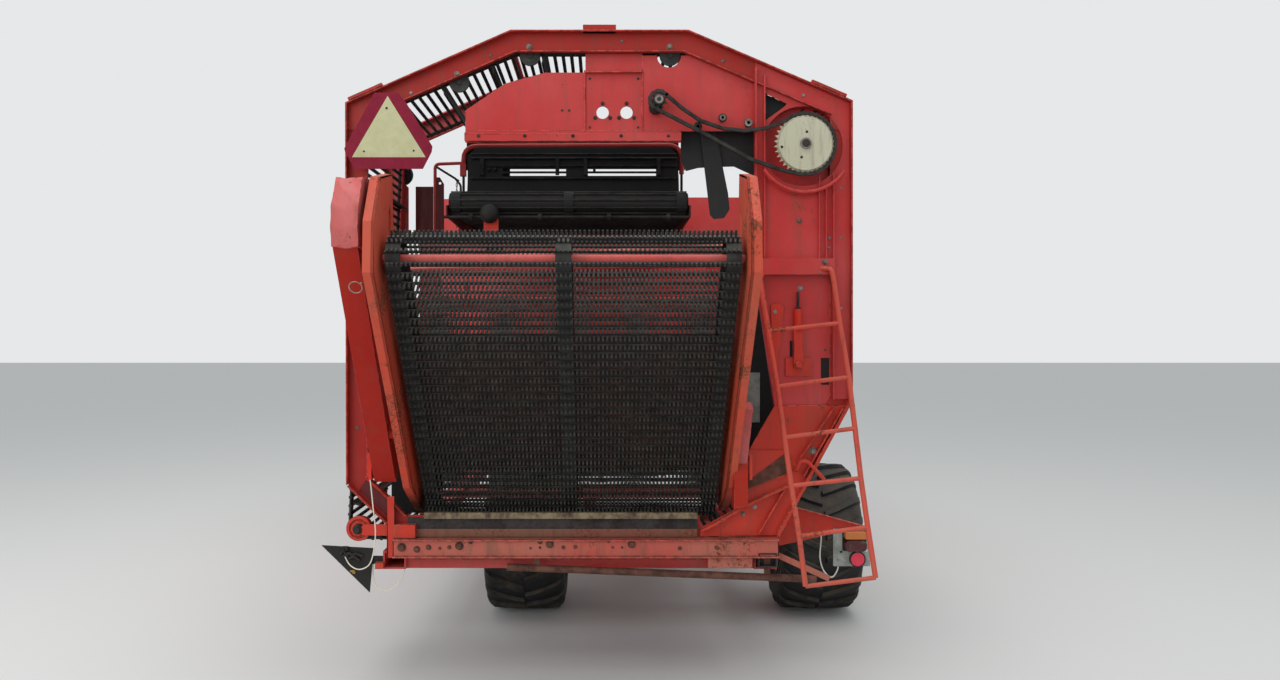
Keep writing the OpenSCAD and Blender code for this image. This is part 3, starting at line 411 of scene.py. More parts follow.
def disc(radius, low, high, centre, axis, steps=32):
    """A solid disc with a small round at its rims."""
    soft = min(2.0, (high - low) / 4)
    profile = [(0.001, low), (radius - soft, low), (radius, low + soft), (radius, high - soft), (radius - soft, high),
               (0.001, high)]
    turned(profile, centre, axis, steps, closed=False)


def circle(centre, radius, steps=20):
    return [(centre[0] + radius * math.cos(2 * math.pi * k / steps),
             centre[1] + radius * math.sin(2 * math.pi * k / steps)) for k in range(steps)]


def finish(name, material, node=None, edge=1.5, rim=None, body="harvester", slot=None, smooth=35):
    """Makes a piece of what lies on the bench: closes it, rolls its edges, paints it and puts it on its body."""
    bmesh.ops.remove_doubles(bench, verts=bench.verts, dist=0.01)
    bmesh.ops.recalc_face_normals(bench, faces=bench.faces)
    for face in bench.faces:
        face.smooth = True
    for e in bench.edges:
        e.smooth = len(e.link_faces) == 2 and e.calc_face_angle(0) < math.radians(smooth)
    for v in bench.verts:
        v.co = at(v.co)
    mesh = bpy.data.meshes.new(name)
    bench.to_mesh(mesh)
    bench.clear()
    piece = show(name, mesh)
    mesh.materials.append(material)
    if edge:
        rolled = piece.modifiers.new("rolled edges", "BEVEL")
        rolled.width = edge / 1000
        rolled.segments = 2
        rolled.limit_method = "ANGLE"
        rolled.angle_limit = math.radians(40)
        rolled.harden_normals = True
        rolled.use_clamp_overlap = True
        if rim:
            mesh.materials.append(rim)
            rolled.material = 1
    return declare(piece, body, slot or SLOTS.get(material, "painted_red"), node)


def declare(piece, body, slot, node=None):
    if node:
        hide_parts(node)
    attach(piece, body)
    return piece


# Cords, along the same points as in the part's source

CABLE_WAY = [(1150, 264, 712), (1150, 264, 680), (1144, 263, 595), (1160, 262, 530), (1190, 264, 495),
             (1218, 272, 492), (1245, 283, 540), (1245, 283, 640)]
TWINE_WAY = [(-1155, -40, 1120), (-1155, -58, 1120), (-1150, -78, 1090), (-1140, -84, 1020), (-1128, -90, 920),
             (-1116, -92, 800), (-1126, -90, 700), (-1150, -80, 635), (-1205, -50, 605), (-1255, -26, 618),
             (-1285, -15, 660), (-1285, -15, 690)]
TWINE_END_WAY = [(-1000, 20, 595), (-1000, 20, 570), (-1030, 12, 515), (-1085, 6, 485), (-1135, 4, 510),
                 (-1150, 4, 565), (-1150, 4, 620)]


def smooth(points, steps):
    """A smooth way through the points, as the part's source draws it."""
    way = [Vector(p) for p in points]
    q = [2 * way[0] - way[1]] + way + [2 * way[-1] - way[-2]]
    out = []
    for i in range(1, len(way)):
        for k in range(steps):
            t = k / steps
            out.append((2 * q[i] + (q[i + 1] - q[i - 1]) * t
                        + (2 * q[i - 1] - 5 * q[i] + 4 * q[i + 1] - q[i + 2]) * t ** 2
                        + (3 * q[i] - q[i - 1] - 3 * q[i + 1] + q[i + 2]) * t ** 3) / 2)
    return out + [way[-1]]


def cord(name, node, points, radius, material, slot):
    way = smooth(points, 6)
    tube(way, radius, 10)
    piece = finish(name, material, node, 0, slot=slot, smooth=60)
    path = [at(p) for p in way]
    length = sum((b - a).length for a, b in zip(path, path[1:]))
    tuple(path[0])


cord("lamp_cable_sheath", "lamp_cable", CABLE_WAY, 3.5, CABLE_SHEATH, "cable_sheath")
cord("baler_twine", "twine", TWINE_WAY, 3, TWINE, "baler_twine")
cord("baler_twine_end", "twine_end", TWINE_END_WAY, 3, TWINE, "baler_twine")


# Repeats by geometry nodes

def run_tree(name, inputs):
    """An empty geometry tree with the named inputs, each a kind and a first value."""
    tree = bpy.data.node_groups.new(name, "GeometryNodeTree")
    tree.interface.new_socket("Geometry", in_out="INPUT", socket_type="NodeSocketGeometry")
    for label, (kind, value) in inputs.items():
        made = tree.interface.new_socket(label, in_out="INPUT", socket_type="NodeSocket" + kind)
        if value is not None:
            made.default_value = value
    tree.interface.new_socket("Geometry", in_out="OUTPUT", socket_type="NodeSocketGeometry")
    tree.is_modifier = True
    return tree, tree.nodes.new("NodeGroupInput"), tree.nodes.new("NodeGroupOutput")


def grown(name, carrier, tree, values, body, slot, node=None):
    """Runs a tree on the carrier, and keeps the result as a plain mesh on one body."""
    holder = show(name + "_carrier", carrier)
    grower = holder.modifiers.new("grow", "NODES")
    grower.node_group = tree
    names = {item.name: item.identifier for item in tree.interface.items_tree
             if item.item_type == "SOCKET" and item.in_out == "INPUT"}
    for label, value in values.items():
        grower[names[label]] = value
    graph = bpy.context.evaluated_depsgraph_get()
    mesh = bpy.data.meshes.new_from_object(holder.evaluated_get(graph))
    bpy.data.objects.remove(holder)
    mesh.name = name
    piece = show(name, mesh)
    declare(piece, body, slot, node)


def closed_run(points):
    """The mesh of edges that a tree lays its repeats along."""
    mesh = bpy.data.meshes.new("run")
    last = len(points) - 1
    mesh.from_pydata([at(p) for p in points], [(i, i + 1) for i in range(last)] + [(last, 0)], [])
    return mesh


def stations(tree, get):
    """Points at the pitch along the run, and the turn that lays z across the machine and x along the run."""
    curve = add(tree, "GeometryNodeMeshToCurve", Mesh=get["Geometry"])
    spots = add(tree, "GeometryNodeResampleCurve", {"mode": "LENGTH"}, Curve=curve, Length=get["Pitch"])
    tangent = add(tree, "GeometryNodeInputTangent")
    turn = add(tree, "FunctionNodeAlignRotationToVector", {"axis": "Z"}, Vector=get["Across"])
    turn = add(tree, "FunctionNodeAlignRotationToVector", {"axis": "X", "pivot_axis": "Z"}, Rotation=turn,
               Vector=tangent)
    return spots, turn


def bars_tree():
    """Round bars across a web at a pitch along its run, each with fingers at a step along the bar."""
    tree, inside, outside = run_tree("bars_on_a_web", {
        "Pitch": ("Float", 0.04), "Bar radius": ("Float", 0.005),
        "Bar length": ("Float", 1.5), "Across": ("Vector", (1, 0, 0)),
        "Finger size": ("Vector", (0.01, 0.01, 0.03)), "Finger step": ("Float", 0.02),
        "Fingers": ("Int", 0), "Finger lift": ("Float", 0.0), "Material": ("Material", None)})
    get = inside.outputs
    spots, turn = stations(tree, get)
    bar = add(tree, "GeometryNodeMeshCylinder", Vertices=8, Radius=get["Bar radius"],
              Depth=get["Bar length"])
    bar = add(tree, "GeometryNodeSetMaterial", Geometry=bar, Material=get["Material"])
    finger = add(tree, "GeometryNodeMeshCube", Size=get["Finger size"])
    finger = add(tree, "GeometryNodeSetMaterial", Geometry=finger, Material=get["Material"])
    less = add(tree, *LESS, i0=get["Fingers"], i1=1.0)
    half = add(tree, *TIMES, i0=less, i1=get["Finger step"])
    start = add(tree, *TIMES, i0=half, i1=-0.5)
    first = add(tree, "ShaderNodeCombineXYZ", Y=get["Finger lift"], Z=start)
    step = add(tree, "ShaderNodeCombineXYZ", Z=get["Finger step"])
    line = add(tree, "GeometryNodeMeshLine", Count=get["Fingers"], Offset=step, Start_Location=first)
    fingers = add(tree, "GeometryNodeInstanceOnPoints", Points=line, Instance=finger)
    both = add(tree, "GeometryNodeJoinGeometry", i0=[fingers, bar])
    whole = add(tree, "GeometryNodeInstanceOnPoints", Points=spots, Instance=both, Rotation=turn)
    done = add(tree, "GeometryNodeRealizeInstances", Geometry=whole)
    tree.links.new(done, outside.inputs[0])
    return tree


def bolt_tree():
    """Hexagon bolt heads on washers, at points that say which way they face and their size."""
    tree, inside, outside = run_tree("hexagon_bolts", {"Material": ("Material", None)})
    get = inside.outputs
    way = add(tree, "GeometryNodeInputNamedAttribute", {"data_type": "FLOAT_VECTOR"}, Name="way")
    size = add(tree, "GeometryNodeInputNamedAttribute", {"data_type": "FLOAT"}, Name="size")
    turn = add(tree, "FunctionNodeAlignRotationToVector", {"axis": "Z"}, Vector=way)
    head = add(tree, "GeometryNodeMeshCylinder", Vertices=6, Radius=0.34, Depth=0.3)
    lift = add(tree, "ShaderNodeCombineXYZ", Z=0.28)
    head = add(tree, "GeometryNodeTransform", Geometry=head, Translation=lift)
    washer = add(tree, "GeometryNodeMeshCylinder", Vertices=16, Radius=0.5, Depth=0.12)
    both = add(tree, "GeometryNodeJoinGeometry", i0=[head, washer])
    whole = add(tree, "GeometryNodeInstanceOnPoints", Points=get["Geometry"], Instance=both,
                Rotation=turn, Scale=size)
    done = add(tree, "GeometryNodeRealizeInstances", Geometry=whole)
    done = add(tree, "GeometryNodeSetMaterial", Geometry=done, Material=get["Material"])
    tree.links.new(done, outside.inputs[0])
    return tree


def chain_tree():
    """A roller chain along a closed path: side plates, narrow and wide by turns, with a roller at each pin."""
    tree, inside, outside = run_tree("roller_chain", {
        "Pitch": ("Float", 0.0254), "Wide": ("Float", 0.016), "Tall": ("Float", 0.022),
        "Across": ("Vector", (0, 1, 0)), "Material": ("Material", None)})
    get = inside.outputs
    spots, turn = stations(tree, get)
    long = add(tree, *TIMES, i0=get["Pitch"], i1=1.45)
    size = add(tree, "ShaderNodeCombineXYZ", X=long, Y=get["Tall"], Z=0.0022)
    plate = add(tree, "GeometryNodeMeshCube", Size=size)
    links = []
    for share in (0.5, 0.32):
        pair = []
        for side in (share, -share):
            away = add(tree, *TIMES, i0=get["Wide"], i1=side)
            shift = add(tree, "ShaderNodeCombineXYZ", Z=away)
            pair.append(add(tree, "GeometryNodeTransform", Geometry=plate, Translation=shift))
        links.append(add(tree, "GeometryNodeJoinGeometry", i0=pair))
    half = add(tree, *TIMES, i0=get["Tall"], i1=0.42)
    pin = add(tree, "GeometryNodeMeshCylinder", Vertices=10, Radius=half, Depth=get["Wide"])
    index = add(tree, "GeometryNodeInputIndex")
    odd = add(tree, "ShaderNodeMath", {"operation": "MODULO"}, i0=index, i1=2.0)
    even = add(tree, *LESS, i0=1.0, i1=odd)
    rows = [add(tree, "GeometryNodeInstanceOnPoints", Points=spots, Instance=piece, Rotation=turn, Selection=choice)
            for piece, choice in ((links[0], odd), (links[1], even), (pin, True))]
    done = add(tree, "GeometryNodeRealizeInstances", Geometry=add(tree, "GeometryNodeJoinGeometry", i0=rows))
    done = add(tree, "GeometryNodeSetMaterial", Geometry=done, Material=get["Material"])
    tree.links.new(done, outside.inputs[0])
    return tree


BARS = bars_tree()
BOLTS = bolt_tree()
CHAIN = chain_tree()


BACK = (0, -1, 0)


def bolts(name, rows, material=None, way=BACK, body="harvester", slot="bare_steel"):
    """Bolt heads that face one way, from rows of x, y, z and the width of the washer."""
    mesh = bpy.data.meshes.new(name)
    mesh.from_pydata([at(row[:3]) for row in rows], [], [])
    mesh.attributes.new("way", "FLOAT_VECTOR", "POINT")
    mesh.attributes.new("size", "FLOAT", "POINT")
    for i, row in enumerate(rows):
        mesh.attributes["way"].data[i].vector = way
        mesh.attributes["size"].data[i].value = row[3] / 1000
    return grown(name, mesh, BOLTS, {"Material": material or ZINC}, body, slot)


def stadium(p, q, r, across, steps=10):
    """The run round two rollers, as points of the drawing; across turns (u, v) into a point."""
    turn = math.atan2(q[1] - p[1], q[0] - p[0])
    out = []
    for centre, start in ((p, turn + math.pi / 2), (q, turn - math.pi / 2)):
        for k in range(steps + 1):
            a = start + math.pi * k / steps
            out.append(across(centre[0] + r * math.cos(a), centre[1] + r * math.sin(a)))
    return out


# Webs

WEB_MID = -166


def bar_web(name, p, q, r, length, mid, node, body, pitch=40, axis="x", rod=None, belt=None):
    """A potato web: spring steel rods riveted to belts at both sides and the middle."""
    if axis == "x":
        def across(u, v):
            return (mid, u, v)
        direction = (1, 0, 0)
    else:
        def across(u, v):
            return (u, mid, v)
        direction = (0, 1, 0)
    run = stadium(p, q, r, across)
    grown(name + "_rods", closed_run(run), BARS, {
        "Pitch": pitch / 1000, "Bar radius": 0.0055, "Bar length": length / 1000, "Across": direction,
        "Fingers": 0, "Material": rod or ROD_STEEL}, body, "bare_steel", node)
    for shift in (-length / 2 + 30, 0, length / 2 - 30):
        band_round(p, q, r, shift + mid - 25, shift + mid + 25, 6, axis)
    finish(name + "_belts", belt or BELT_RUBBER, edge=0.8, body=body)


def band_round(p, q, r, low, high, thick, axis="x"):
    """A flat belt round two rollers, from low to high across the machine."""
    def across(w):
        return (lambda u, v: (w, u, v)) if axis == "x" else (lambda u, v: (u, w, v))
    outer = [stadium(p, q, r + thick / 2, across(w), 12) for w in (low, high)]
    inner = [stadium(p, q, r - thick / 2, across(w), 12) for w in (low, high)]
    rings = [[bench.verts.new(x) for x in loop] for loop in (outer[0], outer[1], inner[1], inner[0])]
    count = len(rings[0])
    for i in range(count):
        m = (i + 1) % count
        for a, b in ((0, 1), (1, 2), (2, 3), (3, 0)):
            bench.faces.new((rings[a][i], rings[a][m], rings[b][m], rings[b][i]))


FINGER_TOP = (-700, 2090)
FINGER_FOOT = (230, 935)


def finger_web():
    run = stadium(FINGER_FOOT, FINGER_TOP, 88, lambda u, v: (WEB_MID, u, v))
    grown("finger_rods", closed_run(run), BARS, {
        "Pitch": 0.049, "Bar radius": 0.0065, "Bar length": 1.5, "Across": (1, 0, 0),
        "Finger size": (0.012, 0.036, 0.009), "Finger step": 0.0195, "Fingers": 76, "Finger lift": -0.016,
        "Material": WEB_RUBBER}, "tilting_web", "black_rubber", "finger_web")
    for low, high in ((-914, -850), (-200, -132), (518, 582)):
        band_round(FINGER_FOOT, FINGER_TOP, 84, low, high, 7)
    finish("finger_belts", BELT_RUBBER, edge=0.8, body="tilting_web")


finger_web()
bar_web("feed", (3450, 690), (620, 1290), 88, 1500, WEB_MID, "feed_web", "harvester")
bar_web("digging", (5560, 330), (3300, 1010), 68, 1500, WEB_MID, "digging_web", "intake")
bar_web("picking", (260, 2460), (3120, 2560), 58, 1240, -180, "picking_web", "harvester", rod=BLACK_ROD,
        belt=CLOTH_BLACK)
bar_web("bunker_floor", (-1085, 1725), (900, 1725), 58, 2020, 4124, "bunker_web", "harvester", 60, "y")
bar_web("boom", (-1282, 1790), (-1282, 2790), 58, 2020, 4124, "boom_web", "boom", 60, "y")


# The ring elevator

RING = [(-960, 640), (800, 640), (875, 765), (1240, 1440), (1240, 2930), (425, 3280), (-460, 3280), (-1280, 2920),
        (-1275, 1020), (-1065, 800)]
RING_RUN = [(520, 705), (900, 980), (1150, 1420), (1150, 2870), (400, 3190), (-440, 3190), (-1190, 2870),
            (-1283, 800), (-1276, 765), (-1257, 750), (-1220, 737)]
RING_DEEP = 880
FACE = 105


def inset(points, depth):
    """A closed outline moved in by depth. The outline runs anticlockwise."""
    out = []
    for i, here in enumerate(points):
        here = Vector(here)
        before = (here - Vector(points[i - 1])).normalized()
        after = (Vector(points[(i + 1) % len(points)]) - here).normalized()
        n1, n2 = Vector((-before.y, before.x)), Vector((-after.y, after.x))
        out.append(tuple(here + (n1 + n2) * depth / (1 + n1.dot(n2))))
    return out


def lip(outer, inner, corners, y0, y1):
    """A lip that stands on the ring's sheet along some of its corners, between two insets."""
    first, last = corners
    edge = inset(RING, outer)[first:last] + inset(RING, inner)[first:last][::-1]
    sheet(edge, y1 - y0, on_xz(y0))


def raised(low, high, tall):
    """The outline of a strip that stands tall on the slope from low to high."""
    low, high = Vector(low), Vector(high)
    along = (high - low).normalized()
    up = Vector((-along.y, along.x)) * tall
    return [tuple(p) for p in (low, high, high + up, low + up)]


# x and z of the drive's large wheel and of its small one on the hood, and the chain's pitch
DRIVE_WHEEL = (997, 2708)
PINION = (276, 2925)
CHAIN_PITCH = 25.4


def ring_frame():
    sheet(RING, 8, on_xz(0), [inset(RING, FACE)])
    lip(0, 8, (3, 9), -40, 60)
    lip(FACE - 6, FACE, (4, 10), -26, 8)
    for low, high in (((-1262, 2928), (-1092, 3003)), ((1205, 2945), (1032, 3019))):
        sheet(raised(low, high, 15 if low[0] < 0 else -15), 70, on_xz(-44))
    # the folded foot of the left column and its diagonal, and the tab over the top
    sheet(raised((-1270, 1014), (-1076, 826), 10), 62, on_xz(-44))
    sheet(raised((-1182, 1056), (-1060, 938), 10), 44, on_xz(-34))
    box((-100, -30, 3272), (65, 40, 3308))
    # gussets at the heads of the columns, and the sill behind the cross beam
    sheet([(-1272, 2790), (-1176, 2790), (-1176, 2850), (-1090, 2890), (-1110, 2985), (-1272, 2915)], 5, on_xz(-5))
    sheet([(1140, 2790), (1232, 2790), (1232, 2925), (1080, 2990), (1058, 2900), (1140, 2860)], 5, on_xz(-5))
    box((-975, 0, 744), (485, 8, 865))
    box((-975, -34, 744), (470, 0, 752))
    # painted shade: the sheets take RED_RING's darker red, for the shade on the ring frame
    finish("ring_frame_sheets", RED_RING, "ring_frame_rear", 2, RED_EDGE)
    sheet([(-36, 852), (-1, 852), (-1, 882), (-30, 882)], 1360, on_yz(-890))
    finish("worn_sill", WORN_SILL)
    box((-975, -12, 798), (470, -1, 852))
    finish("soiled_sheets", DARK_SILL)
    box((-975, -14, 758), (470, -1, 798))
    finish("rubbed_sheets", BROWN_SILL)
    sheet([(-1219, 990), (-1186, 1040), (-1070, 930), (-1078, 857)], 3, on_xz(-3))
    finish("shaded_diagonal", RED_DEEP)
    # x, z and the washer's width
    heads = [(-730, 3070, 30), (-370, 3206, 30), (332, 3206, 30), (95, 3232, 18), (1000, 2962, 26), (-960, 2975, 18),
             (600, 3135, 18), (1190, 2500, 22), (1190, 2250, 22), (1190, 1900, 20), (-1228, 2500, 20),
             (-1228, 2100, 20), (-1228, 1700, 20), (-1228, 1300, 20), (760, 3060, 18), (-560, 3165, 16)]
    bolts("ring_frame_bolts", [(x, 0, z, wide) for x, z, wide in heads], BARE_STEEL)
    for x, z in ((-720, 3032), (-365, 3165), (335, 3165), (-1135, 2840)):
        disc(52, 9, 19, (x, 0, z), "y")
        disc(16, 4, 19, (x, 0, z), "y", 12)
    finish("ring_guide_wheels", WEB_RUBBER)


def ring_web():
    run = [(x, RING_DEEP / 2, z) for x, z in inset(RING_RUN, 7)]
    grown("ring_rods", closed_run(run), BARS, {
        "Pitch": 0.043, "Bar radius": 0.0094, "Bar length": 0.83, "Across": (0, 1, 0), "Fingers": 0,
        "Material": BLACK_ROD}, "harvester", "black_rubber", "ring_web")
    for y in (22, 800):
        sheet(inset(RING_RUN, 3), 58, on_xz(y), [inset(RING_RUN, 11)])
    finish("ring_belts", BELT_RUBBER, edge=0.8)
    # moulded flights stand on the rods and lean forward along the run
    line = [Vector(p) for p in inset(RING_RUN, 14)]
    for here, after in zip(line, line[1:] + line[:1]):
        length = (after - here).length
        along = (after - here).normalized()
        inward = Vector((-along.y, along.x))
        for k in range(int(length / 216)):
            foot = here + along * length * (k + 0.5) / int(length / 216)
            tip = foot + inward * 41 + along * 8
            side = along * 5
            profile = [foot - side * 3, foot + side * 3, foot + side + inward * 12, tip + side, tip - side,
                       foot - side + inward * 12]
            sheet([tuple(p) for p in profile], 800, on_xz(40))
    finish("ring_flights", WEB_RUBBER, edge=2)


def hood():
    eyes = [(-2, 2880), (118, 2880)]
    bite = [(330 + 60 * math.cos(a), 3165 - 60 * math.sin(a)) for a in [math.pi * k / 12 for k in range(13)]]
    sheet([(-690, 2785), (-92, 2785), (-92, 3080), (-290, 3080), (-490, 3025), (-690, 2890)], 6, on_xz(8))
    sheet(rectangle(-88, 2785, 198, 3200), 6, on_xz(12), [circle(e, 31) for e in eyes])
    sheet([(196, 2785), (770, 2785), (770, 3100), (520, 3165)] + bite + [(196, 3165)], 6, on_xz(8))
    # folded seams between the sheets, and the angle iron under them
    for x in (-96, 192):
        box((x, 2, 2785), (x + 8, 14, 3090))
    box((-88, -10, 3076), (198, 12, 3082))
    box((-690, -24, 2764), (390, 12, 2770))
    box((-690, -24, 2730), (390, -18, 2770))
    box((-690, 6, 2728), (390, 12, 2790))
    finish("hood_sheets", RED, "hood_plates", 2, RED_EDGE)
    rows = [(x, 12, z, 20) for eye in eyes for x, z in arc(eye, 46, (90, 215, 325))]
    rows += [(x, -24, 2756, 17) for x in (-620, -390, -150, 90, 325)]
    rows += [(x, 8, 2890, 12) for x in (-205, -170)]
    rows += [(x, 12, z, 12) for x in (-66, 176) for z in (2806, 3050)]
    bolts("hood_bolts", rows, OILY_STEEL)


def right_panel():
    """The right column's rear sheets, with the drive's dish and the web tensioner."""
    dish = circle(DRIVE_WHEEL, 205, 40)
    pocket = [(812, 2972), (918, 2920), (905, 2905), (860, 2872), (812, 2838)]
    sheet([(760, 2145), (1231, 2145), (1231, 2924), (760, 3126)], 6, on_xz(-6), [dish, pocket])
    turned([(205, -6), (205, 50), (1, 50), (1, 45), (199, 45), (199, -6)], (DRIVE_WHEEL[0], 0, DRIVE_WHEEL[1]), "y", 40)
    slots = [rectangle(x0, z0, x1, z1)
             for x0, x1, z0, z1 in ((934, 949, 1656, 1735), (984, 999, 1656, 1735), (1090, 1132, 1516, 1650))]
    sheet([(857, 1408), (1145, 1408), (1145, 2145), (770, 2145), (770, 2060)], 6, on_xz(2), slots)
    # the column's channels, ribs and the angle iron across it
    box((755, -45, 2065), (762, 0, 3090))
    sheet([(755, 2065), (762, 2065), (859, 1415), (852, 1415)], 47, on_xz(-45))
    sheet([(755, 2065), (800, 2065), (897, 1415), (852, 1415)], 8, on_xz(-8))
    box((755, -8, 2065), (808, 2, 3080))
    box((800, -26, 2150), (808, 2, 3060))
    box((1143, -34, 1445), (1150, 0, 2560))
    box((1143, -8, 1445), (1236, 0, 2560))
    box((1074, -26, 2145), (1080, -6, 2560))
    box((1108, -26, 2145), (1114, -6, 2500))
    box((765, -38, 2065), (1150, -32, 2145))
    box((765, -38, 2139), (1150, 2, 2145))
    # the guard's rolled lip under the sprocket
    for y, radius in ((-58, 9), (-20, 5)):
        tube([(x, y, z) for x, z in arc(DRIVE_WHEEL, 236, range(212, 330, 6))], radius, 8)
    finish("right_column_sheets", RED, "side_panel", 2, RED_EDGE)
    sheet([(800, 2985), (930, 2925), (860, 2874), (800, 2830)], 4, on_xz(30))
    box((915, 8, 1500), (1136, 12, 1750))
    finish("pocket_in_the_column", CLOTH_BLACK, edge=0)
    # tensioner: tube with a slotted guide, its bolt, and a bar beside it
    tube([(972, -16, 1895), (972, -16, 1790)], 21, 12)
    box((950, -26, 1600), (994, -12, 1800))
    sheet(rectangle(910, 1560, 1045, 1650), 8, on_xz(-8))
    sheet([(838, 1915), (872, 1925), (905, 1910), (870, 1560), (845, 1560)], 8, on_xz(-9))
    disc(18, -40, -26, (972, 0, 1618), "y", 20)
    finish("web_tensioner", RED_LOW, edge=1.5, rim=RED_EDGE)
    tube([(972, -16, 1980), (972, -16, 1890)], 7, 10)
    disc(14, 1888, 1904, (972, -16, 0), "z", 6)
    finish("tensioner_screw", OILY_STEEL)
    rows = [(980, -6, 2335, 26), (985, 2, 2000, 28), (1128, -6, 2250, 18), (1128, -6, 2200, 14),
            (858, -9, 1880, 20), (1111, 2, 1690, 14), (775, -38, 2105, 14),
            (1080, -38, 2075, 10), (1100, -38, 2128, 30)]
    bolts("right_column_bolts", rows, BARE_STEEL)


def sprocket(centre, teeth):
    """A chain wheel in the chain's plane, with round roots between its teeth."""
    pitch = CHAIN_PITCH
    mid = pitch / 2 / math.sin(math.pi / teeth)
    outline = []
    for k in range(teeth):
        for shift, radius in ((0, mid - pitch * 0.3), (0.28, mid - pitch * 0.12), (0.42, mid + pitch * 0.28),
                              (0.58, mid + pitch * 0.28), (0.72, mid - pitch * 0.12)):
            a = 2 * math.pi * (k + shift) / teeth
            outline.append((centre[0] + radius * math.cos(a), centre[1] + radius * math.sin(a)))
    sheet(outline, 10, on_xz(-66))


def drive():
    """The ring's chain drive: a large wheel at the right, a small one on the hood and three idlers."""
    wheel, pinion = (DRIVE_WHEEL[0], 0, DRIVE_WHEEL[1]), (PINION[0], 0, PINION[1])
    sprocket(DRIVE_WHEEL, 36)
    turned([(1, -78), (133, -78), (137, -74), (137, -66), (1, -66)], wheel, "y", 48)
    finish("drive_wheel", CREAM, "drive_sprockets", 1.2, RUSTY_EDGE)
    disc(19, -92, -76, wheel, "y", 24)
    disc(52, -56, 6, wheel, "y", 24)
    for x, z in ((1003, 2765), (977, 2640), (880, 2690)):
        disc(7, -79.5, -77, (x, 0, z), "y", 12)
    sprocket(PINION, 9)
    disc(30, -56, -40, pinion, "y", 8)
    disc(34, -40, 8, (262, 0, 2900), "y", 9)
    turned([(14, -82), (26, -82), (28, -78), (28, -66), (14, -66)], pinion, "y", 20)
    disc(9, -88, -70, pinion, "y", 12)
    for x, z in ((720, 2815), (592, 2840), (470, 2798)):
        disc(10, -50, 8, (x, 0, z), "y", 16)
        disc(22, -50, -42, (x, 0, z), "y", 20)
    finish("drive_hubs", OILY_STEEL, edge=0.8)
    for (x, z), inner, outer, low in ((DRIVE_WHEEL, 19, 27, -88), (PINION, 10, 21, -84), ((592, 2840), 7, 15, -56),
                                      ((720, 2815), 8, 19, -56)):
        turned([(inner, low), (outer, low), (outer, low + 12), (inner, low + 12)], (x, 0, z), "y", 24)
    finish("drive_washers", BARE_STEEL, edge=0.8)
    taut = [(484, 2768), (731, 2632), (887, 2578)]
    slack = [(800, 2785), (695, 2773), (590, 2785), (483, 2822), (390, 2885)]
    way = arc(PINION, 44, range(50, 250, 12)) + taut + arc(DRIVE_WHEEL, 150, range(252, 496, 8)) + slack
    run = [(x, -61, z) for x, z in way]
    grown("drive_chain_links", closed_run(run), CHAIN, {
        "Pitch": CHAIN_PITCH / 1000, "Wide": 0.016, "Tall": 0.017, "Across": (0, 1, 0), "Material": OILY_STEEL},
        "harvester", "black_steel", "drive_chain")


ring_frame()
ring_web()
hood()
right_panel()
drive()


# The finger web's carriage

# the near faces of the finger web's side plates, and the way between them
WEB_LEFT = -938
WEB_RIGHT = 606
WEB_WIDE = WEB_RIGHT - WEB_LEFT
FINGER_RUN = math.dist(FINGER_FOOT, FINGER_TOP)
UP_WEB = (Vector(FINGER_TOP) - Vector(FINGER_FOOT)).normalized()
OFF_WEB = Vector((-UP_WEB.y, UP_WEB.x))


def along_web(u, v):
    """y and z of a point u up the finger web and v out towards the rear."""
    return tuple(Vector(FINGER_FOOT) + UP_WEB * u + OFF_WEB * v)


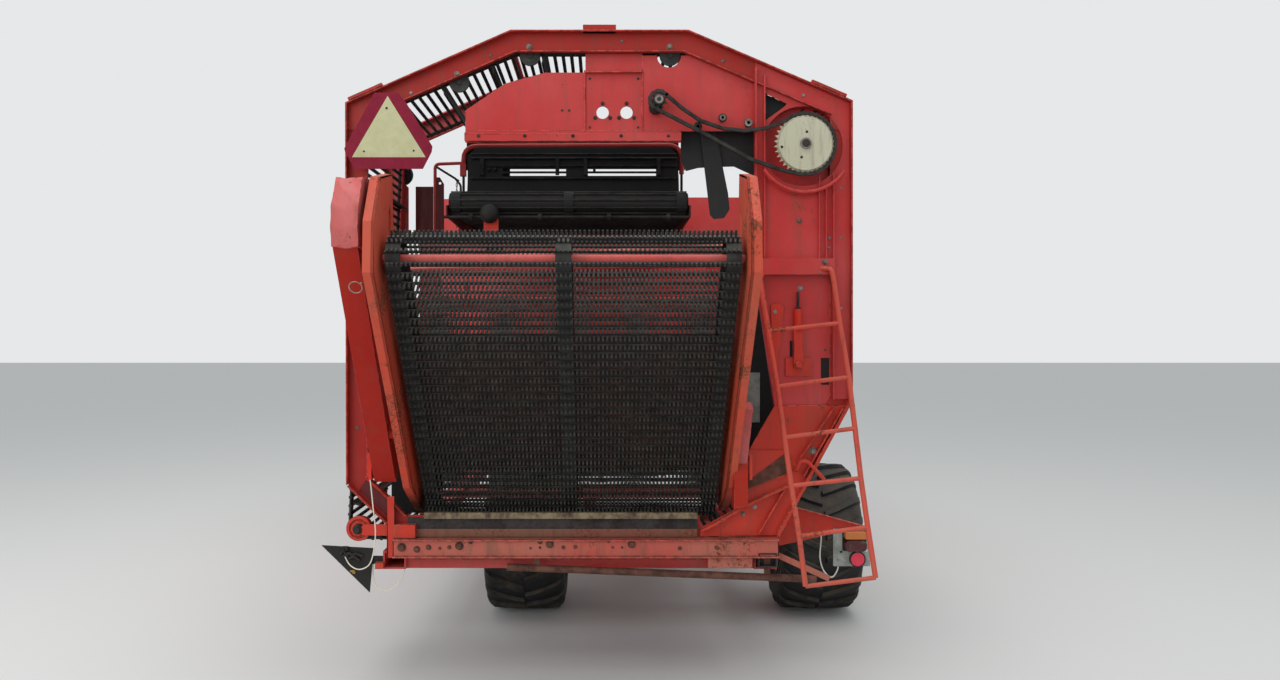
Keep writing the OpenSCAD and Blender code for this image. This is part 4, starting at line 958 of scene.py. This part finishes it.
def finger_sides():
    """The finger web's side plates with their folded rear edges, and the tubes and sheets between them."""
    outline = [along_web(-60, 60), along_web(-60, -60), along_web(300, -190), along_web(FINGER_RUN - 120, -190),
               (-500, 2200), (-530, 2480), (-750, 2430), (-872, 2230), along_web(FINGER_RUN + 60, 190),
               along_web(250, 190)]
    slot_hole = [(-600, 2190), (-560, 2200), (-560, 2300), (-585, 2335), (-600, 2300)]
    for x, edge in ((-950, (-984, -938)), (606, (606, 652))):
        sheet(outline, 12, on_yz(x), [slot_hole])
        rear = outline[7:] + outline[:1]
        for low, high in zip(rear, rear[1:]):
            sheet(raised(low, high, 8), edge[1] - edge[0], on_yz(edge[0]))
        for (y0, z0), (y1, z1) in zip(outline[5:7], outline[6:8]):
            sheet([(y0, z0), (y1, z1), (y1, z1 - 8), (y0, z0 - 8)], edge[1] - edge[0], on_yz(edge[0]))
    finish("finger_side_plates", RED_RUSTY, "finger_plates", 2, RED_EDGE, body="tilting_web")
    # tubes and stiffening sheets between the side plates, seen through the web
    tube([(WEB_LEFT, -400, 2100), (WEB_RIGHT, -400, 2170)], 13, 12)
    tube([(WEB_LEFT, -350, 2066), (WEB_RIGHT, -350, 2092)], 12, 12)
    for u in (520, 830, 1090):
        a, b = along_web(u, -150), along_web(u + 70, -150)
        c, d = along_web(u + 70, -158), along_web(u, -158)
        sheet([a, b, c, d], WEB_WIDE, on_yz(WEB_LEFT))
    for foot, tip in (((560, 700), (60, 900)), ((590, 820), (240, 960))):
        y0, z0 = along_web(foot[1], -112)
        y1, z1 = along_web(tip[1], -112)
        tube([(foot[0], y0, z0), (tip[0], y1, z1)], 13, 8)
    for centre in (FINGER_FOOT, FINGER_TOP):
        tube([(WEB_LEFT, *centre), (WEB_RIGHT, *centre)], 17, 16)
    finish("finger_cross_tubes", RED_BRIGHT, edge=1, body="tilting_web")
    for centre in (FINGER_FOOT, FINGER_TOP):
        for x in (-908, -170, 540):
            disc(76, x, x + 26, (0, *centre), "x", 32)
    finish("finger_discs", BLACK_ROD, edge=1, body="tilting_web")
    # painted shade: the tray under the web is near-black RED_SHADE, for the shade there
    tray = [along_web(u, v) for u, v in ((130, -40), (1010, -40), (1010, -46), (130, -46))]
    sheet(tray, WEB_WIDE, on_yz(WEB_LEFT))
    finish("finger_web_tray", RED_SHADE, edge=1, body="tilting_web")


def finger_arms():
    """The two box arms. The left one has a dented, bleached cap."""
    sheet([(-45, 1075), (-90, 1044), (-130, 1075), (-838, 2128), (-700, 2180), (-560, 2010), (-45, 1130)], 104,
          on_yz(-1118))
    # the right one is short: a fork from the pivot to the side plate
    sheet([(-60, 930), (-72, 917), (-138, 917), (-150, 930), (-150, 1140), (-60, 1140)], 66, on_yz(636))
    for z in (1300, 2060):
        y = -90 - (z - 1060) * 0.6
        tube([(-1014, y, z), (-950, y, z)], 30, 20)
    tube([(618, -215, 1270), (652, -215, 1270)], 30, 20)
    for x0, x1 in ((-1140, -1112), (700, 726)):
        tube([(x0, -90, 1120), (x1, -90, 1120)], 20, 16)
        disc(44, x0 + 6, x0 + 12, (0, -90, 1120), "x", 24)
    # painted shade: the box arms take RED_ARM's deeper red, for the shade they lie in
    finish("finger_box_arms", RED_ARM, "finger_arms", 3, RED_EDGE, body="tilting_web")
    sheet([(-146, 1138), (-330, 1420), (-280, 1450), (-64, 1190), (-64, 1138)], 46, on_yz(654))
    finish("fork_head_right", RED_FADED, edge=2, rim=RED_EDGE, body="tilting_web")
    # caps of folded sheet, with the dents of many knocks
    cap = [(-852, 2122), (-868, 2200), (-860, 2290), (-832, 2355), (-780, 2420), (-640, 2440), (-560, 2360),
           (-600, 2150), (-700, 2122)]
    sheet(cap, 113, on_yz(-1118))
    finish_dented("arm_cap_left", 9)
    # painted shade: a dark sheet fills the gap between the cap and the side plate
    box((-1006, -690, 2120), (-950, -684, 2420))
    finish("arm_gap_painted_shade", RED_SHADE, edge=0, body="tilting_web")
    # linch pin with its ring, lying on the arm
    ring = [(-1050 + 28 * math.cos(a), -727 - 15.5 * math.sin(a), 1966 + 23 * math.sin(a))
            for a in [math.pi * k / 12 for k in range(24)]]
    tube(ring, 3, 8, closed=True)
    tube([(-1084, -720, 1968), (-1020, -738, 1986)], 5, 10)
    finish("linch_pin", ZINC, edge=0, body="tilting_web")


def finish_dented(name, deep):
    bmesh.ops.recalc_face_normals(bench, faces=bench.faces)
    bmesh.ops.subdivide_edges(bench, edges=bench.edges, cuts=5, use_grid_fill=True)
    bmesh.ops.triangulate(bench, faces=bench.faces)
    for v in bench.verts:
        push = math.sin(v.co.x * 0.061 + v.co.z * 0.043) * math.sin(v.co.y * 0.037 - v.co.z * 0.029)
        v.co += Vector((0, 0.6, -0.5)) * push * deep
    finish(name, RED_FADED, edge=3, rim=RED_EDGE, body="tilting_web", smooth=22)


# The cross beam and the lower right

def cross_beam():
    # folded channel: face, lips and returns
    sheet([(-52, 665), (-60, 673), (-60, 747), (-52, 755), (0, 755), (0, 748), (-50, 748), (-53, 745), (-53, 676),
               (-50, 672), (0, 672), (0, 665)], 1910, on_yz(-1040))
    box((-1040, -74, 748), (870, -56, 755))
    box((-1040, -74, 665), (870, -56, 672))
    for x in (-1040, 862):
        box((x, -60, 668), (x + 8, 0, 752))
    box((520, -50, 610), (740, -10, 668))
    sheet([(868, 655), (1120, 540), (1132, 566), (868, 687)], 8, on_xz(-30))
    finish("cross_beam_channel", RED_SCUFFED, "rear_beam", 2, RED_EDGE)
    # open end of the square tube under the beam, closed by a plate inside
    sheet(rectangle(767, 618, 859, 688), 60, on_xz(-64), [rectangle(774, 625, 852, 681)])
    box((770, -30, 621), (856, -24, 685))
    finish("square_tube_end", BLACK_ROD, edge=1)
    # x, z and the washer's width
    heads = [(-994, 717, 44), (-919, 707, 33), (-862, 717, 28), (-806, 712, 16), (-759, 717, 20), (-709, 724, 42),
             (-654, 745, 25), (-311, 745, 25), (-263, 732, 40), (-358, 712, 12), (-311, 715, 13), (-137, 718, 20),
             (-196, 716, 20), (27, 745, 16), (48, 716, 13), (94, 716, 12), (142, 732, 40), (380, 712, 20),
             (560, 716, 20)]
    bolts("cross_beam_bolts", [(x, -60, z, wide) for x, z, wide in heads], RUSTED)


def lower_right():
    """The sheets that carry the ring's lower right corner, with the ribs and the web's way."""
    sheet([(857, 1414), (720, 1175), (720, 932), (634, 882), (485, 802), (485, 758), (875, 766), (1222, 1414)], 8,
          on_xz(-8))
    sheet([(1240, 1440), (875, 765), (861, 773), (1222, 1444)], 44, on_xz(-44))
    # ribs turned out from the plate, each from its foot to its head
    for low, high in (((876, 768), (1218, 1406)), ((775, 775), (911, 1004)), ((872, 787), (938, 905)),
                      ((968, 1129), (1151, 1405)), ((997, 1058), (1195, 1400))):
        sheet(raised(low, high, 8), 34, on_xz(-42))
    # the web's way, a curved lip that climbs to the right
    way = [(487, 786), (560, 818), (640, 869), (730, 920), (925, 1010), (920, 1021), (725, 931), (634, 880), (552, 832),
           (487, 799)]
    sheet(way, 34, on_xz(-42))
    finish("lower_right_sheets", RED_LOW, "lower_plate", 2, RED_EDGE)
    sheet([(725, 1000), (725, 1040), (910, 1178), (930, 1160), (930, 1082)], 4, on_xz(-24))
    finish("worn_chute", RUSTED, edge=1)
    tube(bent([(955, -8, 1090), (955, -62, 1100), (975, -70, 1145), (1010, -72, 1140), (1092, -60, 1052)], 20), 9, 10)
    finish("cable_hook", RED_LOW, edge=0)
    box((817, 860, 1253), (925, 866, 1546))
    finish("grey_cover", GREY_PLATE, edge=0.8, slot="painted_red")
    box((700, 866, 1000), (1150, 872, 2150))
    finish("crop_guard", CLOTH_BLACK, edge=1)
    rows = [(1049, -8, 1188, 41), (811, -8, 961, 26), (757, -8, 907, 22), (698, -8, 872, 24),
            (568, -8, 825, 22), (735, -8, 1140, 12), (742, -8, 1120, 12), (900, -8, 1330, 14),
            (925, -8, 1340, 14)]
    bolts("lower_right_bolts", rows, BARE_STEEL)


def ladder():
    """A ladder of bent tubes, which hangs on the right column by its hook and its upper ends."""
    left = [(790, -30, 2061), (773, -61, 2052), (812, -87, 1784), (832, -101, 1645), (851, -114, 1513),
            (881, -139, 1267), (910, -161, 1036), (943, -185, 797), (969, -208, 562)]
    right = [(1085, -30, 2096), (1128, -60, 2092), (1141, -64, 2018), (1162, -84, 1823), (1200, -110, 1559),
             (1225, -134, 1311), (1247, -158, 1072), (1274, -181, 840), (1305, -204, 603)]
    for way in (left, right):
        tube(bent(way, 25), 13, 14)
    for i, k in ((2, 3), (4, 4), (5, 5), (6, 6), (7, 7), (8, 8)):
        tube([left[i], right[k]], 11, 12)
    finish("ladder_tubes", RED_RUBBED, "ladder", 0)


PULLEY = (-1222, 0, 797)


def tensioner():
    """The web's tension pulley at the lower left, on its arm and post."""
    turned([(20, 2), (36, 2), (44, 10), (48, -4), (62, -4), (62, 16), (46, 22), (20, 16)], PULLEY, "y", 40)
    turned(rectangle(20, 30, 51, 80), PULLEY, "y", 40)
    sheet([(-1198, 768), (-940, 763), (-940, 822), (-1190, 822), (-1206, 806)], 14, on_xz(-26))
    box((-1134, -30, 601), (-1091, 0, 633))
    box((-1070, -44, 660), (-1062, 0, 965))
    box((-1070, -44, 660), (-1035, -36, 965))
    box((-1035, -46, 758), (-929, -1, 825))
    finish("tension_pulley_sheets", RED_LOW, "tension_pulley", 2, RED_EDGE)
    turned([(8, -30), (22, -30), (25, -24), (25, 20), (8, 20)], PULLEY, "y", 24)
    disc(17, -42, -20, PULLEY, "y", 6)
    # knot of rubber, and a brass clip, on the deflector
    for x, z, wide, tall in ((-1262, 664, 34, 16), (-1240, 650, 26, 14), (-1290, 672, 20, 20), (-1228, 668, 30, 8)):
        tube([(x - wide, -14, z), (x, -24, z + tall), (x + wide, -14, z - tall / 2)], 7, 8)
    finish("tension_pulley_hub", OILY_STEEL, edge=0.8)
    box((-1262, -13, 582), (-1240, -8, 592))
    box((-1250, -12, 574), (-1236, -8, 586))
    finish("brass_clip", BRASS, edge=0.8)


# What stands inside and beside the ring, at the table's rear

def table_head():
    # rods over the curtain with their hangers, and the shaft under the table
    for x, y, z, radius, sides in ((-790, 948, 2826, 7, 12), (-790, 952, 2852, 5, 10), (-700, 950, 2780, 5, 10),
                                   (-790, 950, 2706, 6, 10)):
        tube([(x, y, z), (440, y, z)], radius, sides)
    for x in (-735, -284, -115, 322):
        box((x, 936, 2725), (x + 22, 955, 2830))
    for x in (-690, -655, -60):
        tube([(x, 948, 2758), (x + 16, 948, 2758)], 11, 10)
    tube([(-830, 212, 2382), (452, 212, 2382)], 8, 12)
    for x in (-700, -340, 20, 330):
        disc(18, x, x + 22, (0, 212, 2382), "x", 20)
    finish("table_rods", BLACK_ROD, edge=0.8)
    # cloth that hangs from the hoop down to a toothed edge, with the slots that light comes through
    cloth = [(-812, 2568), (452, 2568), (452, 2836), (410, 2892), (-760, 2892), (-812, 2840)]
    slots = [[(x0, z), (x1, z), (x1, z + 17), (x0, z + 17)] for x0, x1 in ((-600, -219), (-90, 322))
             for z in (2720, 2750)]
    sheet(cloth, 5, on_xz(958), slots)
    for k in range(58):
        box((-800 + 21.5 * k, 958, 2552), (-788 + 21.5 * k, 963, 2570))
    box((-806, 953, 2564), (446, 958, 2580))
    # aprons at the right, which turn the falling crop onto the table
    sheet([(394, 2800), (394, 2650), (420, 2596), (482, 2612), (582, 2617), (663, 2619), (765, 2572), (765, 2800)], 6,
          on_xz(64))
    # the cloth behind the hoop's top
    box((-826, 1018, 2880), (458, 1022, 2962))
    # the skirt beside the finger web's foot
    sheet(rectangle(-1150, 800, -935, 1130), 6, on_xz(420))
    finish("table_cloth", CLOTH_BLACK, edge=1)
    sheet([(490, 2790), (572, 2790), (600, 2640), (632, 2480), (640, 2400), (612, 2356), (560, 2350), (540, 2372)], 8,
          on_xz(46))
    finish("hanging_strap", CLOTH_BLACK, edge=3)
    # drums inside the picking web, and the sheet between its two runs, both black as painted shade for the web's inside
    for y, z in ((260, 2460), (3120, 2560)):
        disc(51.8, -806, 446, (0, y, z), "x", 32)
    sheet([(320, 2470), (3060, 2565), (3060, 2559), (320, 2464)], 1236, on_yz(-798))
    finish("table_drums", CLOTH_BLACK, edge=1, slot="black_steel")
    # the table's side boards, cut low at the rear, where the view passes over them
    board = [(190, 2380), (190, 2440), (960, 2560), (1010, 2740), (1100, 2760), (3200, 2760), (3200, 2480),
             (2300, 2370), (900, 2370)]
    for x in (-818, 450):
        sheet(board, 8, on_yz(x))
    finish("table_boards", RED_DEEP, "picking_frame", 1.5)
    turned([(1, 150), (20, 152), (38, 160), (48, 176), (50, 204), (1, 204)], (-591, 0, 2397), "y", 32, closed=False)
    finish("motor_dome", BLACK_PLASTIC, edge=1, slot="black_rubber")
    box((-622, 204, 2310), (-545, 212, 2372))
    box((-622, 170, 2302), (-545, 212, 2310))
    finish("motor_bracket", RED_LOW, edge=1.5)


def hoop():
    """The tube hoop that the cloth hangs from, with the handrail and posts beside it."""
    way = [(-842, 1000, 2730), (-842, 1000, 2908), (474, 1000, 2914), (474, 1000, 2740)]
    tube(bent(way, 85), 15, 16)
    tube(bent([(-1014, 1000, 2371), (-1014, 1000, 2800), (-850, 1000, 2806)], 30), 10, 12)
    box((-862, 984, 2726), (-826, 1016, 2800))
    finish("hoop_and_handrail", RED, "hoop", 1.5)
    sheet(rectangle(-1129, 2371, -1023, 2662), 8, on_xz(985))
    sheet([(-1004, 2371), (-960, 2371), (-960, 2680), (-985, 2720), (-1004, 2720)], 8, on_xz(996),
          [circle((-984, 2684), 8, 12)])
    finish("rail_posts", RED_DEEP, edge=1.5)
    for x in (-842, 474):
        tube([(x, 1000, 2371), (x, 1000, 2740)], 8, 10)
    finish("hoop_legs", BLACK_ROD, edge=0, slot="painted_red")


def left_fittings():
    """A thin dark tube with a short chain, an idler wheel and a punched plate between the posts."""
    tube(bent([(-1012, 1000, 2787), (-891, 1000, 2712), (-859, 1000, 2672), (-859, 1000, 2372)], 40), 7, 10)
    for k in range(15):
        z = 2700 - 19 * k
        u, v = (4, 0) if k % 2 else (0, 4)
        loop = [(-883 + u, 1000 + v, z), (-883 + u, 1000 + v, z - 14), (-883, 1000, z - 18),
                (-883 - u, 1000 - v, z - 14), (-883 - u, 1000 - v, z), (-883, 1000, z + 4)]
        tube(loop, 2.2, 6, closed=True)
    tube([(-898, 1000, 2716), (-868, 1000, 2700)], 4, 8)
    finish("thin_tube_and_chain", OILY_STEEL, edge=0)
    turned([(12, 900), (58, 900), (64, 908), (64, 934), (58, 942), (12, 942)], (-1196, 0, 2722), "y", 36)
    finish("idler_wheel", WEB_RUBBER, edge=0.8)
    sheet([(-1215, 2372), (-1150, 2372), (-1150, 2640), (-1200, 2690), (-1215, 2690)], 8, on_xz(880),
          [circle((-1196, 2600), 11, 16)])
    tube([(-1196, 872, 2722), (-1196, 950, 2722)], 11, 12)
    box((-1206, 880, 2660), (-1186, 888, 2735))
    finish("punched_plate", RED, edge=1.5, rim=RED_EDGE)


# Sign and lamps

def triangle_sign():
    """A slow-vehicle triangle: folded sheet, with a pale reflecting middle inside dark red borders."""
    plate = [(-1220, 2580), (-884, 2580), (-841, 2663), (-837, 2690), (-966, 2905), (-1005, 2954), (-1123, 2954),
             (-1271, 2680), (-1265, 2660)]
    sheet(plate, 4, on_xz(-89))
    box((-1220, -85, 2640), (-1185, 0, 2690))
    finish("sign_plate", SIGN_BORDER, "triangle_sign", 2)
    sheet([(-1232, 2637), (-870, 2637), (-1057, 2938)], 1.2, on_xz(-90.2))
    finish("sign_middle", SIGN_MIDDLE, edge=0.3)
    rows = [(-1062, -90, 2878, 12), (-1173, -90, 2666, 10), (-929, -90, 2669, 10)]
    bolts("sign_rivets", rows, OILY_STEEL, slot="black_steel")


def rear_lamps():
    """A grey lamp plate with a two-colour lamp and a round reflector, on its red triangular arm."""
    holes = [circle((1256, 622), 7, 12), circle((1240, 580), 4, 10), circle((1390, 628), 6, 12)]
    sheet([(1214, 552), (1220, 546), (1409, 546), (1409, 739), (1403, 745), (1214, 745)], 3, on_xz(264), holes)
    finish("lamp_plate", GREY_PLATE, edge=0.8)
    sheet([(870, 640), (1383, 752), (1019, 852), (870, 684)], 5, on_xz(270))
    sheet(raised((1019, 852), (1383, 752), 6), 26, on_xz(250))
    finish("lamp_arm", RED_LOW, "lamp_bracket", 1.5, RED_EDGE, slot="painted_red_faded")
    sheet(bevelled(1267, 1383, 631, 690, 16), 42, on_xz(222))
    finish("tail_lamp_red", LENS_RED, "lamps", 6)
    sheet(bevelled(1267, 1383, 694, 735, 8), 42, on_xz(222))
    finish("tail_lamp_amber", LENS_AMBER, edge=5)
    box((1262, 258, 628), (1388, 264, 734))
    turned(rectangle(36, 248, 42, 264), (1340, 0, 585), "y", 32)
    finish("lamp_frames", BLACK_PLASTIC, edge=2)
    disc(38, 250, 262, (1340, 0, 585), "y", 40)
    finish("round_reflector", REFLECTOR, edge=1.5)


def bevelled(x0, x1, z0, z1, cut):
    """A rectangle with its corners cut off."""
    return [(x0 + cut, z0), (x1 - cut, z0), (x1, z0 + cut), (x1, z1 - cut), (x1 - cut, z1), (x0 + cut, z1),
            (x0, z1 - cut), (x0, z0 + cut)]


# Wheels

# the carcass's section, as x from its middle and radius, from the bead to the tread
TYRE_HALF = [(190, 218.4), (236, 244), (247, 280), (251, 356), (249, 372), (243, 396), (226, 420), (206, 432),
             (120, 438)]
TYRE_ROWS = [(-x, r) for x, r in TYRE_HALF] + [(0, 439.5)] + TYRE_HALF[::-1]
AXLE_Y = 1480
AXLE_Z = 466
# how far across a lug's station lies, the radius of its top and its width along the run
LUG_ROWS = [(4, 464.5, 30), (60, 464.5, 34), (120, 464, 36), (170, 461, 38), (208, 456, 40), (232, 436, 40),
            (243, 410, 36)]
LUGS = 20
# the angle by which a lug's outer end lags behind its inner one
LUG_LAG = 0.26


def tyre(name, middle, body, out):
    """A flotation tyre: turned carcass and two rows of slanting lugs, with ribs on its sidewalls. out is the side
    that the wheel's bolts and cap are on."""
    centre = (middle, AXLE_Y, AXLE_Z)
    turned([(r, x) for x, r in TYRE_ROWS], centre, "x", 96)
    for side in (-1, 1):
        for r in (262, 300, 306, 338):
            turned(rectangle(r - 2, side * 244, r + 2, side * 251), centre, "x", 96)
    finish(name + "_carcass", TYRE_RUBBER, name, 0, body=body, smooth=45)
    for side in (-1, 1):
        for k in range(LUGS):
            first = 2 * math.pi * (k + (0.5 if side > 0 else 0)) / LUGS
            rings = []
            for x, top, wide in LUG_ROWS:
                lag = first + LUG_LAG * (x / LUG_ROWS[-1][0]) ** 1.2
                ring = []
                for r, half in ((top - 42, wide / 2 + 6), (top, wide / 2)):
                    for turn in (lag - half / r, lag + half / r):
                        y, z = AXLE_Y + r * math.sin(turn), AXLE_Z + r * math.cos(turn)
                        ring.append(bench.verts.new((middle + side * x, y, z)))
                rings.append((ring[0], ring[1], ring[3], ring[2]))
            for a, b in zip(rings, rings[1:]):
                for i in range(4):
                    bench.faces.new((a[i], a[(i + 1) % 4], b[(i + 1) % 4], b[i]))
            bench.faces.new(rings[0][::-1])
            bench.faces.new(rings[-1])
    finish(name + "_lugs", TYRE_RUBBER, edge=3, body=body, smooth=50)
    # hub cap and wheel bolts
    cap = [(76, 44), (76, 56), (66, 60), (60, 92), (50, 98), (1, 98), (1, 92), (48, 92), (54, 56), (54, 44)]
    turned([(r, out * x) for r, x in cap], centre, "x", 40)
    finish(name + "_hub_cap", OILY_STEEL, edge=0.8, body=body)
    ring = circle((AXLE_Z, AXLE_Y), 138, 8)
    bolts(name + "_wheel_bolts", [(middle, y, z, 32) for z, y in ring], way=(out, 0, 0), body=body)


tyre("tyre_left", -487, "wheel_left", -1)
tyre("tyre_right", 1355, "wheel_right", 1)
finger_sides()
finger_arms()
cross_beam()
lower_right()
ladder()
tensioner()
table_head()
hoop()
left_fittings()
triangle_sign()
rear_lamps()


# Finishes of the CAD nodes that stay as they are

def paint_nodes():
    finishes = {
        RED: "upper_frame railing bunker boom_frame drawbar oil_tank ring_frame_front ring_ties main_frame",
        RED_LOW: "axle_beam knuckle_left knuckle_right feed_walls intake_frame pivot_brackets",
        CREAM: "rim_left rim_right",
        BARE_STEEL: "tie_rod share_blades disc_left disc_middle disc_right platform towing_eye jack_leg",
        OILY_STEEL: "drive_shaft",
        BLACK_PLASTIC: "deflector",
        CLOTH_BLACK: "table_curtain",
        RUSTED: "hung_pipe",
        BELT_RUBBER: "ridge_roller_left ridge_roller_right",
    }
    for material, names in finishes.items():
        for name in names.split():
            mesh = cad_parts[name].data
            mesh.materials.clear()
            mesh.materials.append(material)


paint_nodes()


# Studio

def studio():
    floor_mesh = bpy.data.meshes.new("floor")
    wide = 60
    floor_mesh.from_pydata([(-wide, -wide, 0), (wide, -wide, 0), (wide, wide, 0), (-wide, wide, 0)], [], [(0, 1, 2, 3)])
    floor = show("floor", floor_mesh)
    made = new_material("pale_floor")[0]
    floor_mesh.materials.append(close(made, Base_Color=colour("#D9D9D6"), Roughness=0.9))
    world = bpy.data.worlds.new("soft_daylight")
    bpy.context.scene.world = world
    world.use_nodes = True
    tree = world.node_tree
    tree.nodes.clear()
    seen, mirrored, through = [add(tree, "ShaderNodeLightPath", out="Is " + ray + " Ray")
                               for ray in ("Camera", "Glossy", "Transmission")]
    plain = add(tree, *LARGER, i0=add(tree, *LARGER, i0=seen, i1=mirrored), i1=through)
    light = add(tree, "ShaderNodeBackground", Color=colour("#E4E8EC"), Strength=0.75)
    backdrop = add(tree, "ShaderNodeBackground", Color=colour("#E6E8EA"), Strength=1.0)
    add(tree, "ShaderNodeOutputWorld", i0=add(tree, "ShaderNodeMixShader", i0=plain, i1=light, i2=backdrop))
    # name, place, size, strength
    for name, spot, size, power in (("sky_lamp", (0, -3.5, 9), 9, 420), ("rear_lamp", (-6, -9, 5), 6, 260)):
        data = bpy.data.lights.new(name, "AREA")
        data.size = size
        data.energy = power
        lamp = show(name, data)
        lamp.location = spot
        aim = Vector((0, -2.5, 1.5)) - Vector(spot)
        lamp.rotation_euler = aim.to_track_quat("-Z", "Y").to_euler()
    bpy.context.scene.view_settings.view_transform = "Standard"


studio()
